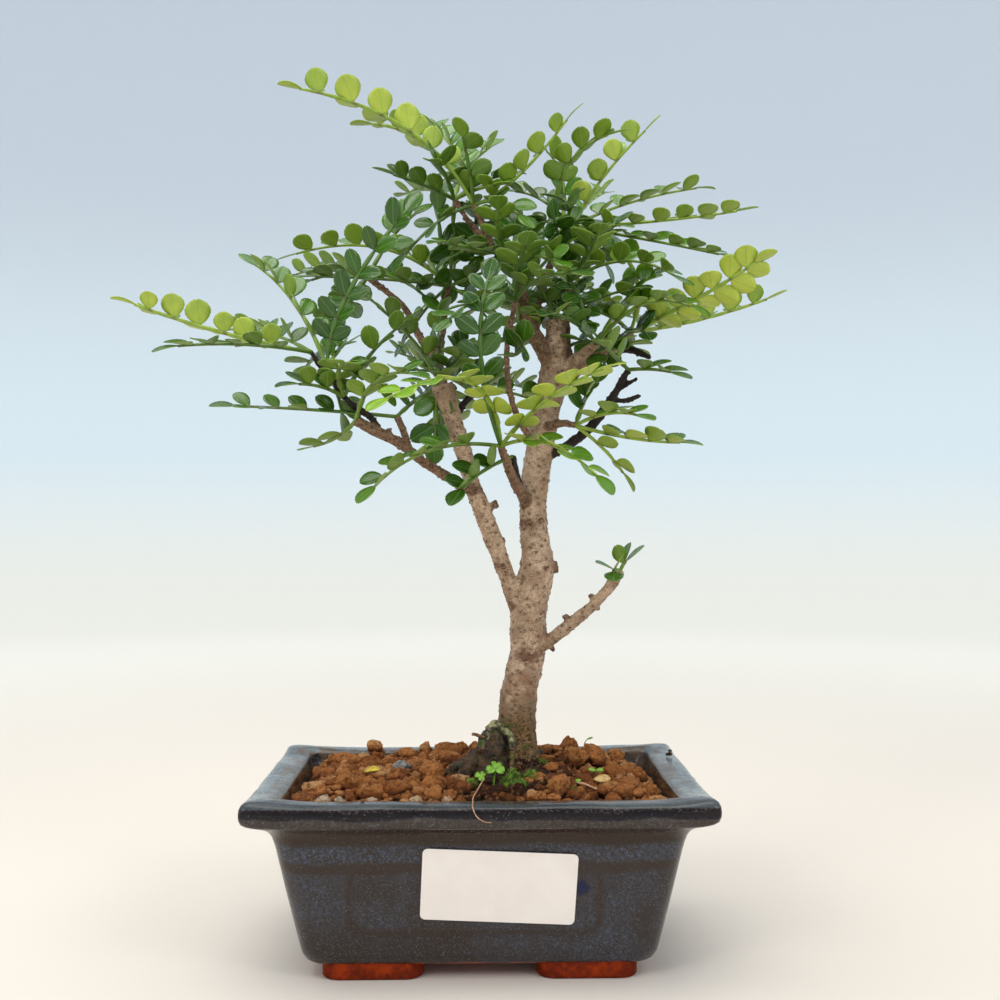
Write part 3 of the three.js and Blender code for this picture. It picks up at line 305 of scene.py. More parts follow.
SPRAYS = {
    "crown": ((-2, -6, 258), [
        leaf((-27, -16, 282.6), (-68, -22, 294), 0.8, bare=0.26, top=LEANING, fold=48, pitch=10.2,
             size=1.08),
        leaf((-21, -3, 281.6), (-44, 2, 288.6), 0.7, bare=0.2, top=LEANING, fold=46, pitch=7.4, size=0.9),
        leaf((15, -10, 269), (35, -14, 293), 0.6, fold=26),
        leaf((-9, 18, 284), (-21, 42, 302), 0.5)]),
    "crown_back": ((-9, 2, 262), [
        leaf((-21, -4, 266), (-37, -12, 269), 0.1, fold=34),
        leaf((-19, 30, 273), (-32, 58, 278), 0.3),
        leaf((-4, 24, 280), (8, 44, 296), 0.5),
        leaf((0, 30, 262), (8, 58, 262), 0.2)]),
    "right_top": ((34, 20, 257), [
        leaf((47, 14, 276), (65, 8, 294), 0.8, fold=52),
        leaf((60, 28, 269), (89, 34, 276), 0.4, fold=24),
        leaf((67, 10, 257), (98, 4, 260), 0.6, fold=24),
        leaf((63, 0, 247), (87, -12, 239), 0.3, fold=20),
        leaf((43, 48, 273), (54, 76, 285), 0.5)]),
    "right_crown": ((28, 18, 247), [
        leaf((31, 4, 274), (51, -4, 285), 0.35, bare=0.35, fold=18),
        leaf((31, 22, 274), (21, 24, 289), 0.4, bare=0.3)]),
    "right_twig": ((32, 2, 233), [
        leaf((52, -10, 238), (71, -20, 227), 0.3, fold=28),
        leaf((27, -14, 244), (24, -26, 253), 0.1, top=TO_FRONT),
        leaf((37, -20, 239), (38, -44, 242), 0.2, fold=16)]),
    "right_mid": ((55, 14, 217), [
        leaf((56, 6, 236), (42, 0, 248), 0.7, top=TO_FRONT),
        leaf((44, 26, 230), (30, 32, 241), 0.9),
        leaf((77, -10, 226), (97, -24, 238), 0.95, top=TO_BACK, fold=10, size=1.12),
        leaf((82, 14, 222), (111, 10, 231), 0.7, top=LEANING, fold=50),
        leaf((70, 44, 226), (87, 72, 239), 0.4)]),
    "right_high": ((41, -4, 210), [
        leaf((56, -24, 221), (73, -36, 215), 0.3, fold=20),
        leaf((30, -26, 215), (20, -48, 213), 0.1, fold=16)]),
    "left_tip": ((-55, -32, 203), [
        leaf((-85, -38, 209), (-116, -42, 219), 0.85, top=LEANING, fold=42, size=0.92),
        leaf((-76, -50, 203), (-97, -62, 200), 0.15, fold=16),
        leaf((-72, -12, 212), (-89, 6, 216), 0.3)]),
    "left_rise": ((-50, -31, 198), [
        leaf((-63, -24, 222), (-80, -16, 237), 0.4),
        leaf((-42, -36, 223), (-18, -40, 254), 0.1, top=TO_FRONT, fold=30)]),
    "left_side": ((-45, -26, 189), [
        leaf((-54, -34, 192), (-64, -40, 191), 0.2),
        leaf((-45, -40, 197), (-37, -54, 196), 0.3, fold=12, size=0.85),
        leaf((-34, -34, 204), (-18, -40, 216), 0.15, fold=18)]),
    "left_high": ((-11, 12, 233), [
        leaf((-38, 6, 246), (-72, 2, 240), 0.5, fold=40),
        leaf((-33, -6, 232), (-63, -16, 231), 0.2, fold=26),
        leaf((-14, 8, 249), (-15, 4, 266), 0.1),
        leaf((-23, 42, 248), (-38, 70, 259), 0.3)]),
    "left_back": ((-41, 16, 237), [
        leaf((-57, 34, 244), (-76, 50, 243), 0.3),
        leaf((-50, 22, 226), (-58, 30, 220), 0.1)]),
    "left_low": ((-41, -28, 181), [
        leaf((-32, -44, 193), (-17, -58, 192), 0.3, fold=22),
        leaf((-50, -20, 175), (-62, -8, 173), 0.3, fold=20)]),
    "left_peg": ((-28, -20, 183), [
        leaf((-57, -24, 185), (-88, -28, 186), 0.2, top=TOWARD, fold=26),
        leaf((-21, 8, 193), (-15, 34, 200), 0.2)]),
    "front": ((7, -22, 173), [
        leaf((-5, -48, 192), (-34, -74, 180), 0.9, fold=8),
        leaf((-18, -38, 170), (-37, -50, 154), 0.3, fold=22),
        leaf((0, -42, 202), (4, -38, 231), 0.1, top=TO_FRONT, bare=0.3, fold=18),
        leaf((23, -44, 172), (40, -58, 157), 0.7, fold=10),
        leaf((22, -46, 187), (42, -62, 196), 0.9, fold=6)]),
    "front_short": ((11, -14, 170), [
        leaf((-1, -30, 163), (-8, -40, 155), 0.2)]),
    "front_thin": ((9, -17, 205), [
        leaf((13, -30, 204), (14, -38, 212), 0.1, top=TO_FRONT)]),
    "centre_front": ((12, -17, 223), [
        leaf((-1, -38, 219), (-13, -54, 207), 0.1, fold=16),
        leaf((21, -38, 227), (33, -58, 223), 0.15, fold=14),
        leaf((13, -34, 232), (15, -50, 237), 0.1, fold=18)]),
    "centre": ((9, -9, 240), [
        leaf((-3, -24, 239), (-16, -40, 238), 0.2, fold=16),
        leaf((6, -24, 246), (6, -38, 253), 0.3, fold=20)]),
    "right_low": ((33, -9, 181), [
        leaf((55, -12, 176), (74, -14, 175), 0.7, fold=26),
        leaf((44, -24, 184), (55, -36, 181), 0.5, fold=20),
        leaf((45, -6, 171), (53, -2, 160), 0.6, fold=24),
        leaf((37, 0, 191), (40, 8, 197), 0.3)]),
    "right_dark": ((51, -12, 200), [
        leaf((60, -20, 199), (69, -26, 196), 0.2, fold=24),
        leaf((44, -24, 204), (39, -36, 206), 0.2)]),
    "arm_tip": ((48, -13, 131), [
        leaf((51, -14, 135), (55, -15, 133), 0.3),
        leaf((45, -20, 131), (46, -26, 128), 0.3)]),
    "back_high": ((27, 6, 220), [
        leaf((31, 34, 232), (41, 62, 243), 0.3),
        leaf((19, 34, 232), (8, 64, 241), 0.2),
        leaf((45, 30, 227), (64, 54, 228), 0.3)]),
    "left_stem_top": ((-15, -6, 198), [
        leaf((-22, 14, 206), (-34, 36, 213), 0.2),
        leaf((-8, -20, 202), (-3, -30, 206), 0.1, fold=14),
        leaf((-25, -14, 212), (-40, -22, 224), 0.2, fold=24)]),
    "black_tip": ((-2, 0, 193), [
        leaf((-6, 10, 204), (-7, 18, 218), 0.2),
        leaf((8, 24, 199), (20, 46, 199), 0.2)]),
}
LEAFLET_LENGTH = 9.2
LEAFLET_WIDTH = 7.2
# Old leaves that fill the crown, on the shoots of these sprays
FILLED = {"crown", "crown_back", "right_top", "right_crown", "right_twig", "right_mid", "right_high",
          "left_high", "left_back", "centre_front", "centre", "back_high", "left_stem_top", "black_tip",
          "left_rise"}
FILLERS = 4
FILLER_TRIES = 60
FILLER_REACH = (24, 38)
FILLER_CROWDING = 0.72
# No filling leaf in this part of the front, where the photograph shows wood
WOOD_SHOWS_X = (-12, 34)
WOOD_SHOWS_Y = -4
WOOD_SHOWS_Z = 212
CROWN_CENTRE = (-2, 0, 226)
CROWN_RADII = (84, 62, 62)
LEAFLET_LEAN = math.radians(26)
OLD_LEAN = math.radians(15)
FOLD_SPREAD = 0.25
LEAN_SPREAD = 0.2
TWIST_SPREAD = 0.2
TIP_LEVELLING = 2.0
TIP_ROOM = 0.75
TIP_LEAFLET = (LEAFLET_LENGTH * 0.92, LEAFLET_WIDTH * 0.9)
LEAFLET_THICKNESS = 0.24
# Points along and across a leaflet, less one
LEAFLET_ALONG = 14
LEAFLET_ACROSS = 4
SCALLOPS = 6.5
STALK_SIDES = 8


# Small helpers

def at(point):
    """A point in millimetres from the pot's middle, as a point in the scene."""
    return Vector(point[:3]) * MM + MIDDLE


def unit(v):
    return v / np.linalg.norm(v, axis=-1, keepdims=True)


def clamped(value):
    return min(1.0, max(0.0, value))


def wave(x, y, scale, level):
    """Smooth noise over the pot's plan; another level gives another pattern."""
    return noise.noise(Vector((x * scale, y * scale, level)))


def place(name, verts, faces, materials, kinds=(), marks=None, smooth=True):
    """A piece from points in metres; kinds picks each face's material, and marks are values at the points."""
    mesh = bpy.data.meshes.new(name)
    mesh.from_pydata([tuple(v) for v in verts], [], faces)
    for material in materials:
        mesh.materials.append(material)
    if kinds:
        mesh.polygons.foreach_set("material_index", np.array(kinds, np.int32))
    mesh.polygons.foreach_set("use_smooth", np.full(len(mesh.polygons), smooth))
    for key, values in (marks or {}).items():
        values = np.asarray(values, np.float32)
        kind, field = ("FLOAT_VECTOR", "vector") if values.ndim == 2 else ("FLOAT", "value")
        mesh.attributes.new(key, kind, "POINT").data.foreach_set(field, values.ravel())
    mesh.update()
    piece = bpy.data.objects.new(name, mesh)
    bpy.context.scene.collection.objects.link(piece)
    return piece


def applied(piece):
    """The mesh of a piece with its modifiers applied."""
    return bpy.data.meshes.new_from_object(piece.evaluated_get(bpy.context.evaluated_depsgraph_get()))


def settle(piece, stands_for=()):
    """Rides a finished piece on the body and the CAD nodes that it stands for."""
    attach(piece, BODY)
    if stands_for:
        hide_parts(*stands_for)


def smoothed(rows, step):
    """Catmull-Rom points through rows of equal length, about one step apart."""
    rows = [np.array(r, float) for r in rows]
    padded = [2 * rows[0] - rows[1], *rows, 2 * rows[-1] - rows[-2]]
    made = []
    for a, b, c, d in zip(padded, padded[1:], padded[2:], padded[3:]):
        count = max(1, round(np.linalg.norm((c - b)[:3]) / step))
        for k in range(count):
            t = k / count
            made.append(0.5 * (2 * b + (c - a) * t + (2 * a - 5 * b + 4 * c - d) * t * t
                               + (3 * b - a - 3 * c + d) * t ** 3))
    made.append(rows[-1])
    return np.array(made)


def ring_faces(rings, sides, capped=True):
    """Faces of a tube of rings, with its ends closed."""
    faces = []
    for i in range(rings - 1):
        for j in range(sides):
            a, b = i * sides + j, i * sides + (j + 1) % sides
            faces.append((a, b, b + sides, a + sides))
    if capped:
        faces.append(tuple(reversed(range(sides))))
        faces.append(tuple(range((rings - 1) * sides, rings * sides)))
    return faces


def tube(rows, sides):
    """Points and faces of a tube along rows of x, y, z and radius."""
    rows = np.asarray(rows, float)
    verts = []
    side = np.array([1.0, 0.2, 0.0])
    for i, row in enumerate(rows):
        along = unit(rows[min(i + 1, len(rows) - 1), :3] - rows[max(i - 1, 0), :3])
        side = unit(side - along * side.dot(along))
        up = np.cross(along, side)
        for k in range(sides):
            angle = 2 * math.pi * k / sides
            verts.append(row[:3] + row[3] * (side * math.cos(angle) + up * math.sin(angle)))
    return verts, ring_faces(len(rows), sides)


def sheet_faces(rows, columns):
    """Faces of a closed thin grid, and 0 for each face of its upper side or 1 for the others."""
    wide = columns + 1
    total = (rows + 1) * wide
    faces, sides = [], []
    for i in range(rows):
        for a in range(i * wide, i * wide + columns):
            faces.append((a, a + wide, a + wide + 1, a + 1))
            faces.append((total + a, total + a + 1, total + a + wide + 1, total + a + wide))
            sides += [0, 1]
    border = [*range(wide), *range(wide + columns, total, wide)]
    border += [*range(total - 2, total - wide - 1, -1), *range(total - 2 * wide, 0, -wide)]
    faces += [(a, b, total + b, total + a) for a, b in zip(border, border[1:] + border[:1])]
    return faces, sides + [1] * len(border)


def corner_rows(half_x, half_y, radius, steps):
    """The points of each corner of a rounded rectangle, in turn."""
    rows = []
    for sign_x, sign_y, start in ((1, -1, -90), (1, 1, 0), (-1, 1, 90), (-1, -1, 180)):
        centre = np.array([sign_x * (half_x - radius), sign_y * (half_y - radius)])
        angles = [math.radians(start + 90 * k / steps) for k in range(steps + 1)]
        rows.append([centre + radius * np.array([math.cos(a), math.sin(a)]) for a in angles])
    return rows


class Gather:
    """Gathers points in millimetres, with their marks and faces, into one mesh."""

    def __init__(self):
        self.verts, self.faces, self.kinds, self.marks = [], [], [], {}
        self.count = 0

    def add(self, verts, faces, kinds=(), **marks):
        self.verts.append(np.array(verts, float))
        self.faces += [tuple(k + self.count for k in f) for f in faces]
        self.kinds += kinds
        for key, values in marks.items():
            self.marks.setdefault(key, []).append(values)
        self.count += len(verts)

    def build(self, name, *materials):
        marks = {key: np.concatenate(values) for key, values in self.marks.items()}
        verts = np.concatenate(self.verts) * MM + np.array(MIDDLE)
        return place(name, verts, self.faces, materials, self.kinds, marks)


# Materials: a short language for node trees

class Nodes:
    """A material's node tree, with shorthands for the nodes that these materials share."""

    def __init__(self, name):
        self.material = bpy.data.materials.new(name)
        self.material.use_nodes = True
        self.tree = self.material.node_tree
        self.tree.nodes.clear()
        self.shader = self.node("BsdfPrincipled")
        self.node("OutputMaterial", Surface=self.shader.outputs[0])
        self.place = self.node("TexCoord").outputs["Object"]

    def put(self, socket, value):
        """Links a socket to another node, or sets its value."""
        if isinstance(value, bpy.types.NodeSocket):
            self.tree.links.new(value, socket)
        elif socket.type == "RGBA":
            socket.default_value = (*value, 1.0)
        else:
            socket.default_value = value

    def fill(self, node, values):
        for key, value in values.items():
            self.put(node.inputs[key.replace("_", " ")], value)
        return node

    def node(self, kind, **values):
        return self.fill(self.tree.nodes.new("ShaderNode" + kind), values)

    def finished(self, **values):
        """The material, once its shader has these values."""
        self.fill(self.shader, values)
        return self.material

    def attribute(self, name, output="Fac"):
        node = self.node("Attribute")
        node.attribute_name = name
        return node.outputs[output]

    def split(self, vector):
        return self.node("SeparateXYZ", Vector=vector).outputs

    def math(self, operation, a, b=0.0):
        node = self.node("Math")
        node.operation = operation
        self.put(node.inputs[0], a)
        self.put(node.inputs[1], b)
        return node.outputs[0]

    def times(self, a, b):
        return self.math("MULTIPLY", a, b)

    def plus(self, a, b):
        return self.math("ADD", a, b)

    def minus(self, a, b):
        return self.math("SUBTRACT", a, b)

    def ramp(self, value, low, high, to_low=0.0, to_high=1.0):
        node = self.node("MapRange", Value=value, From_Min=low, From_Max=high, To_Min=to_low, To_Max=to_high)
        node.interpolation_type = "SMOOTHSTEP"
        return node.outputs[0]

    def below(self, value, low, high):
        """1 below the low value, 0 above the high one."""
        return self.ramp(value, low, high, 1.0, 0.0)

    def noise(self, scale, detail=4.0, rough=0.55):
        return self.node("TexNoise", Vector=self.place, Scale=scale, Detail=detail,
                         Roughness=rough).outputs["Fac"]

    def cells(self, scale, where=None):
        """Distance to the nearest of scattered points."""
        return self.node("TexVoronoi", Vector=where or self.place, Scale=scale).outputs["Distance"]

    def mix(self, factor, a, b, blend="MIX"):
        node = self.node("Mix")
        node.data_type = "RGBA"
        node.blend_type = blend
        self.put(node.inputs["Factor"], factor)
        self.put(node.inputs[6], a)
        self.put(node.inputs[7], b)
        return node.outputs[2]

    def over(self, color, *layers):
        """A colour with layers of mask and tone laid over it in turn."""
        for mask, tone in layers:
            color = self.mix(mask, color, tone)
        return color

    def bump(self, height, distance, strength, **normal):
        return self.node("Bump", Height=height, Distance=distance, Strength=strength, **normal).outputs[0]


def leaf_material(name, dark, middle, bright, vein, roughness, relief):
    """Leaf skin: tint picks the green, the blade mark holds the place along and across a leaflet."""
    n = Nodes(name)
    tint = n.attribute("tint")
    along, across, chance = n.split(n.attribute("blade", "Vector"))
    color = n.over(n.mix(n.ramp(tint, 0.0, 0.5), dark, middle), (n.ramp(tint, 0.5, 1.0), bright))
    lighter = n.mix(1.0, color, (1.5, 1.3, 1.0), "MULTIPLY")
    off_rib = n.math("ABSOLUTE", across)
    rib = n.below(off_rib, 0.015, 0.07)
    slope = n.minus(along, n.times(off_rib, 0.3))
    side_veins = n.ramp(n.math("SINE", n.times(slope, 40.0)), 0.6, 1.0, 0.0, 0.5)
    color = n.over(color,
                   (n.ramp(n.noise(330, 3), 0.35, 0.7, 0.0, 0.5), lighter),
                   (n.ramp(chance, 0.0, 1.0, 0.0, 0.5), lighter),
                   (n.times(rib, 0.45), vein),
                   (n.times(side_veins, 0.10), vein),
                   (n.ramp(off_rib, 0.80, 0.97, 0.0, 0.5), vein))
    height = n.plus(n.times(side_veins, -0.4), n.times(rib, -0.8))
    height = n.plus(height, n.noise(620, 3, 0.6))
    return n.finished(Base_Color=color, Normal=n.bump(height, relief, 0.7),
                      Roughness=n.ramp(n.noise(900, 2), 0.3, 0.7, roughness, roughness + 0.14))


def stalk_material():
    """Green leaf stalks, with a brown dot where a pair of leaflets meets."""
    n = Nodes("stalk")
    color = n.mix(n.ramp(n.attribute("tint"), 0.05, 0.65), (0.060, 0.135, 0.014), (0.28, 0.40, 0.040))
    color = n.over(color,
                   (n.ramp(n.noise(500, 3), 0.4, 0.65, 0.0, 0.35), (0.09, 0.17, 0.02)),
                   (n.times(n.attribute("node_dot"), 0.7), (0.07, 0.04, 0.012)))
    return n.finished(Base_Color=color, Roughness=0.42, Normal=n.bump(n.noise(1500, 2), 0.0001, 0.4))


def bark_material():
    """Smooth grey bark with raised brown pores; finish says how brown, black or mossy a limb is."""
    n = Nodes("bark")
    finish = n.attribute("finish")
    x, _, z = n.split(n.place)
    broad, fine, patchy = n.noise(110, 5, 0.6), n.noise(1100, 6, 0.75), n.noise(240, 5, 0.72)
    tall = n.node("Mapping", Vector=n.place, Scale=(1.0, 1.0, 1.5)).outputs[0]
    pores = n.cells(410, tall)
    spread = n.ramp(n.noise(200, 3), 0.30, 0.42)
    lenticels = n.times(n.below(pores, 0.15, 0.26), spread)
    lips = n.times(n.below(pores, 0.27, 0.42), spread)
    freckles = n.times(n.below(n.cells(1300), 0.12, 0.26), n.ramp(n.noise(330, 3), 0.44, 0.58))
    grey = n.over(n.mix(n.ramp(broad, 0.35, 0.65), (0.40, 0.262, 0.165), (0.68, 0.485, 0.335)),
                  (n.ramp(fine, 0.42, 0.66, 0.0, 0.75), (0.25, 0.130, 0.062)),
                  (n.times(lips, 0.4), (0.74, 0.53, 0.36)),
                  (n.times(lenticels, 0.9), (0.19, 0.072, 0.028)),
                  (n.times(freckles, 0.75), (0.22, 0.095, 0.040)),
                  (n.ramp(n.noise(62, 3, 0.7), 0.57, 0.66, 0.0, 0.55), (0.25, 0.115, 0.050)))
    rusty = n.ramp(n.noise(260, 4, 0.7), 0.36, 0.56)
    for spot_x, spot_z, reach in RUSTY_SPOTS:
        aside = n.times(n.minus(x, spot_x * MM), 1 / (reach * MM))
        above = n.times(n.minus(z, spot_z * MM), 1.7 / (reach * MM))
        away = n.plus(n.times(aside, aside), n.times(above, above))
        grey = n.mix(n.times(n.ramp(away, 0.15, 1.0, 0.85, 0.0), rusty), grey, (0.13, 0.045, 0.018))
    brown = n.mix(n.ramp(fine, 0.35, 0.66), (0.105, 0.048, 0.024), (0.34, 0.205, 0.115))
    black = n.mix(n.ramp(fine, 0.4, 0.75), (0.008, 0.006, 0.005), (0.085, 0.042, 0.024))
    earthy = n.over(n.mix(n.ramp(fine, 0.38, 0.62), (0.062, 0.029, 0.010), (0.33, 0.170, 0.064)),
                    (n.ramp(patchy, 0.50, 0.60, 0.0, 0.8), (0.085, 0.105, 0.016)))
    peaty = n.over(n.mix(n.ramp(patchy, 0.40, 0.62), (0.014, 0.008, 0.004), (0.105, 0.052, 0.024)),
                   (n.ramp(n.noise(300, 4, 0.7), 0.52, 0.64, 0.0, 0.55), (0.060, 0.080, 0.014)))
    old = n.over(n.mix(n.ramp(patchy, 0.45, 0.60), (0.040, 0.032, 0.015), (0.42, 0.38, 0.20)),
                 (n.ramp(n.noise(170, 4, 0.7), 0.50, 0.60, 0.0, 0.8), (0.115, 0.165, 0.024)))
    color = n.over(grey,
                   (n.ramp(finish, 0.05, 0.45), brown),
                   (n.ramp(finish, 0.55, 0.9), black),
                   (n.below(n.plus(z, n.times(n.noise(120, 4), 0.03)), 0.090, 0.108), earthy),
                   (n.below(finish, -0.40, -0.12), peaty),
                   (n.below(finish, -0.95, -0.62), old))
    height = n.minus(n.plus(n.times(fine, 0.6), lips), n.times(lenticels, 0.7))
    grain = n.bump(n.noise(2300, 4), 0.0003, 0.6)
    return n.finished(Base_Color=color, Roughness=n.ramp(fine, 0.3, 0.8, 0.52, 0.78), Specular_IOR_Level=0.38,
                      Normal=n.bump(height, 0.0009, 0.9, Normal=grain))


def glaze_material():
    """Slate-blue glaze in bands: nearly black on the rim's edge with painted glints along its top, speckled
    with blue and white below.
    """
    n = Nodes("glaze")
    x, y, z = n.split(n.place)
    broad = n.noise(30, 4, 0.6)
    mottle = n.ramp(n.noise(900, 5, 0.8), 0.47, 0.66)
    level = n.plus(z, n.times(n.minus(n.noise(38, 4), 0.5), 0.0045))

    def band(ends, soft=0.8):
        low, high, soft = ends[0] * MM, ends[1] * MM, soft * MM
        return n.times(n.ramp(level, low - soft, low + soft), n.below(level, high - soft, high + soft))

    brown = n.math("MAXIMUM", band(UPPER_BROWN), n.times(band(LOWER_BROWN), 0.8))
    brown = n.math("MAXIMUM", brown, n.attribute("thin"))
    blue = n.math("MAXIMUM", n.times(band(BLUE), 0.9), n.ramp(broad, 0.49, 0.68, 0.0, 0.75))
    blue = n.times(blue, n.minus(1.0, brown))
    edge = n.mix(n.times(mottle, n.ramp(level, 0.0558, 0.0574, 0.9, 0.1)),
                 (0.0050, 0.0014, 0.0012), (0.016, 0.026, 0.055))
    # Painted glints: pale specks along the top of the rim's edge, standing in for a broken highlight
    edge_glints = n.times(band(GLINT_BAND, 0.3), n.ramp(n.noise(1100, 4, 0.75), 0.50, 0.62))
    specks = n.times(n.below(n.cells(1100), 0.07, 0.15), n.ramp(n.noise(260, 3), 0.44, 0.58))
    clouds = n.ramp(n.noise(70, 5, 0.7), 0.35, 0.65)
    # Clouds in the glaze on the rim's top; its front strip is also darkened, a painted dark reflection
    clouds_and_dark_reflection = n.over(n.mix(clouds, (0.060, 0.073, 0.077), (0.200, 0.235, 0.240)),
                    (n.ramp(n.noise(1200, 4), 0.5, 0.7, 0.0, 0.25), (0.19, 0.225, 0.25)),
                    (n.ramp(y, -0.0475, -0.0445, 0.75, 0.0), (0.022, 0.028, 0.034)))
    aside, above = n.minus(x, MIDDLE.x + BLOT[0] * MM), n.minus(z, BLOT[1] * MM)
    away = n.math("SQRT", n.plus(n.times(aside, aside), n.times(above, above)))
    away = n.plus(away, n.times(n.noise(400), 0.002))
    blot = n.times(n.below(away, 0.0026, 0.0042), n.below(y, 0.0, 0.001))
    lip = n.mix(mottle, (0.040, 0.028, 0.021), (0.095, 0.085, 0.080))
    bare = n.below(n.plus(z, n.times(n.noise(300, 4), 0.0022)), 0.0062, 0.0070)
    color = n.over(n.mix(n.ramp(broad, 0.38, 0.62), (0.033, 0.023, 0.018), (0.037, 0.031, 0.030)),
                   (n.times(mottle, blue), (0.074, 0.108, 0.172)),
                   (n.times(n.ramp(n.noise(1700, 3, 0.8), 0.52, 0.64), 0.55), (0.095, 0.095, 0.120)),
                   (n.times(brown, 0.8), (0.036, 0.019, 0.011)),
                   (band(RIM_EDGE, 0.4), edge),
                   (n.times(edge_glints, 0.22), (0.26, 0.19, 0.18)),
                   (n.times(band(LIP, 0.5), 0.8), lip),
                   (n.times(specks, 0.6), (0.40, 0.43, 0.50)),
                   (n.times(n.ramp(z, 0.0588, 0.0594), 0.85), clouds_and_dark_reflection),
                   (n.times(n.attribute("inner"), n.ramp(n.noise(160, 5), 0.35, 0.6)), (0.085, 0.052, 0.030)),
                   (n.times(blot, 0.9), (0.006, 0.010, 0.045)),
                   (bare, (0.36, 0.060, 0.008)))
    fine = n.bump(n.noise(1800, 3), 0.00008, 0.4)
    return n.finished(Base_Color=color, Roughness=n.ramp(n.noise(600, 4), 0.3, 0.7, 0.12, 0.28),
                      Specular_IOR_Level=0.3, Normal=n.bump(n.noise(260, 4, 0.6), 0.0005, 0.3, Normal=fine))


def clay_material():
    """Unglazed red clay with darker stains."""
    n = Nodes("bare_clay")
    color = n.over(n.mix(n.ramp(n.noise(200, 5, 0.7), 0.35, 0.7), (0.12, 0.012, 0.002), (0.33, 0.034, 0.003)),
                   (n.ramp(n.noise(500, 4), 0.58, 0.72, 0.0, 0.8), (0.05, 0.012, 0.006)))
    return n.finished(Base_Color=color, Roughness=0.7, Specular_IOR_Level=0.12,
                      Normal=n.bump(n.noise(700, 5), 0.0004, 0.6))


def granule_material():
    """Baked clay granules; the mark at each point picks a granule's clay colour and carries painted shade on
    its lower side.
    """
    n = Nodes("granules")
    lump = n.attribute("lump")
    pits = n.noise(800, 5, 0.75)
    # The darkest colours serve both the dark soil round the trunk and the painted shade on the crumbs' lower
    # sides
    color = n.over(n.mix(n.ramp(lump, -0.6, 0.05), (0.040, 0.015, 0.006), (0.25, 0.078, 0.019)),
                   (n.ramp(lump, 0.0, 0.5), (0.50, 0.190, 0.052)),
                   (n.ramp(lump, 0.55, 0.85), (0.65, 0.34, 0.14)),
                   (n.ramp(lump, 0.88, 0.98), (0.62, 0.50, 0.38)),
                   (n.ramp(pits, 0.47, 0.64, 0.0, 0.8), (0.075, 0.025, 0.010)),
                   (n.ramp(n.noise(480, 3, 0.7), 0.52, 0.70, 0.0, 0.5), (0.63, 0.30, 0.11)))
    return n.finished(Base_Color=color, Roughness=0.95, Specular_IOR_Level=0.2,
                      Normal=n.bump(pits, 0.0019, 1.0))


def simple_material(name, low, high, scale, roughness, relief=0.0003):
    """Two colours mixed by noise, with a fine relief."""
    n = Nodes(name)
    return n.finished(Base_Color=n.mix(n.ramp(n.noise(scale, 5, 0.65), 0.35, 0.68), low, high),
                      Roughness=roughness, Normal=n.bump(n.noise(scale * 3, 5, 0.65), relief, 0.6))


LEAF_TOP = leaf_material("leaf_top", (0.019, 0.066, 0.003), (0.056, 0.160, 0.005), (0.145, 0.300, 0.010),
                         (0.16, 0.32, 0.05), 0.13, 0.00009)
# Undersides: a paler yellow-green, partly the leaf's own colour and partly painted light shining through the
# leaf
LEAF_UNDER_GLOW = leaf_material("leaf_under_glow", (0.060, 0.135, 0.010), (0.160, 0.270, 0.020), (0.335, 0.440, 0.055),
                           (0.22, 0.38, 0.05), 0.40, 0.00012)
STALK = stalk_material()
BARK = bark_material()
GLAZE = glaze_material()
CLAY = clay_material()
GRANULES = granule_material()
PEAT = simple_material("peat", (0.010, 0.005, 0.003), (0.075, 0.028, 0.011), 520, 0.95, 0.0009)
THREADS = simple_material("root_threads", (0.020, 0.010, 0.005), (0.11, 0.055, 0.028), 900, 0.9)
MOSS = simple_material("moss", (0.016, 0.046, 0.003), (0.27, 0.44, 0.024), 850, 0.6)
WEED = simple_material("weed", (0.10, 0.25, 0.014), (0.26, 0.48, 0.040), 600, 0.45)
PALE_ROOT = simple_material("pale_root", (0.36, 0.17, 0.09), (0.62, 0.40, 0.25), 900, 0.7)
STONE = simple_material("grey_stone", (0.09, 0.085, 0.075), (0.30, 0.29, 0.26), 600, 0.85)
YELLOW = simple_material("fallen_yellow", (0.42, 0.29, 0.01), (0.70, 0.56, 0.05), 700, 0.45)
STRAW = simple_material("fallen_straw", (0.42, 0.24, 0.07), (0.68, 0.48, 0.20), 700, 0.5)
PAPER = simple_material("paper", (0.86, 0.785, 0.735), (0.90, 0.825, 0.775), 90, 0.38, 0.00003)
PLASTIC = simple_material("mesh_plastic", (0.012, 0.012, 0.013), (0.03, 0.03, 0.032), 500, 0.5)


# Pot

def pot_ring(half_x, half_y, radius):
    """Points of one section of the pot, with the same count for every section."""
    rows = corner_rows(half_x, half_y, radius, RING_CORNER_STEPS)
    runs = [int(RIM_WIDTH / RING_SPACING), int(RIM_LENGTH / RING_SPACING)] * 2
    points = []
    for row, following, run in zip(rows, rows[1:] + rows[:1], runs):
        points += row + [row[-1] + (following[0] - row[-1]) * k / run for k in range(1, run)]
    return points


def panel_relief(x, z):
    """Height of the soft raised frame on the long walls, and how thin the glaze runs there."""
    cx, cz, half_x, half_z = PANEL
    dx, dz = abs(x - cx) - (half_x - PANEL_RADIUS), abs(z - cz) - (half_z - PANEL_RADIUS)
    outside = math.hypot(max(dx, 0), max(dz, 0)) + min(max(dx, dz), 0) - PANEL_RADIUS
    ridge = math.exp(-(outside / 1.1) ** 2)
    inside = 1 / (1 + math.exp(outside / 0.7))
    return PANEL_RIDGE * ridge - PANEL_SINK * inside, ridge


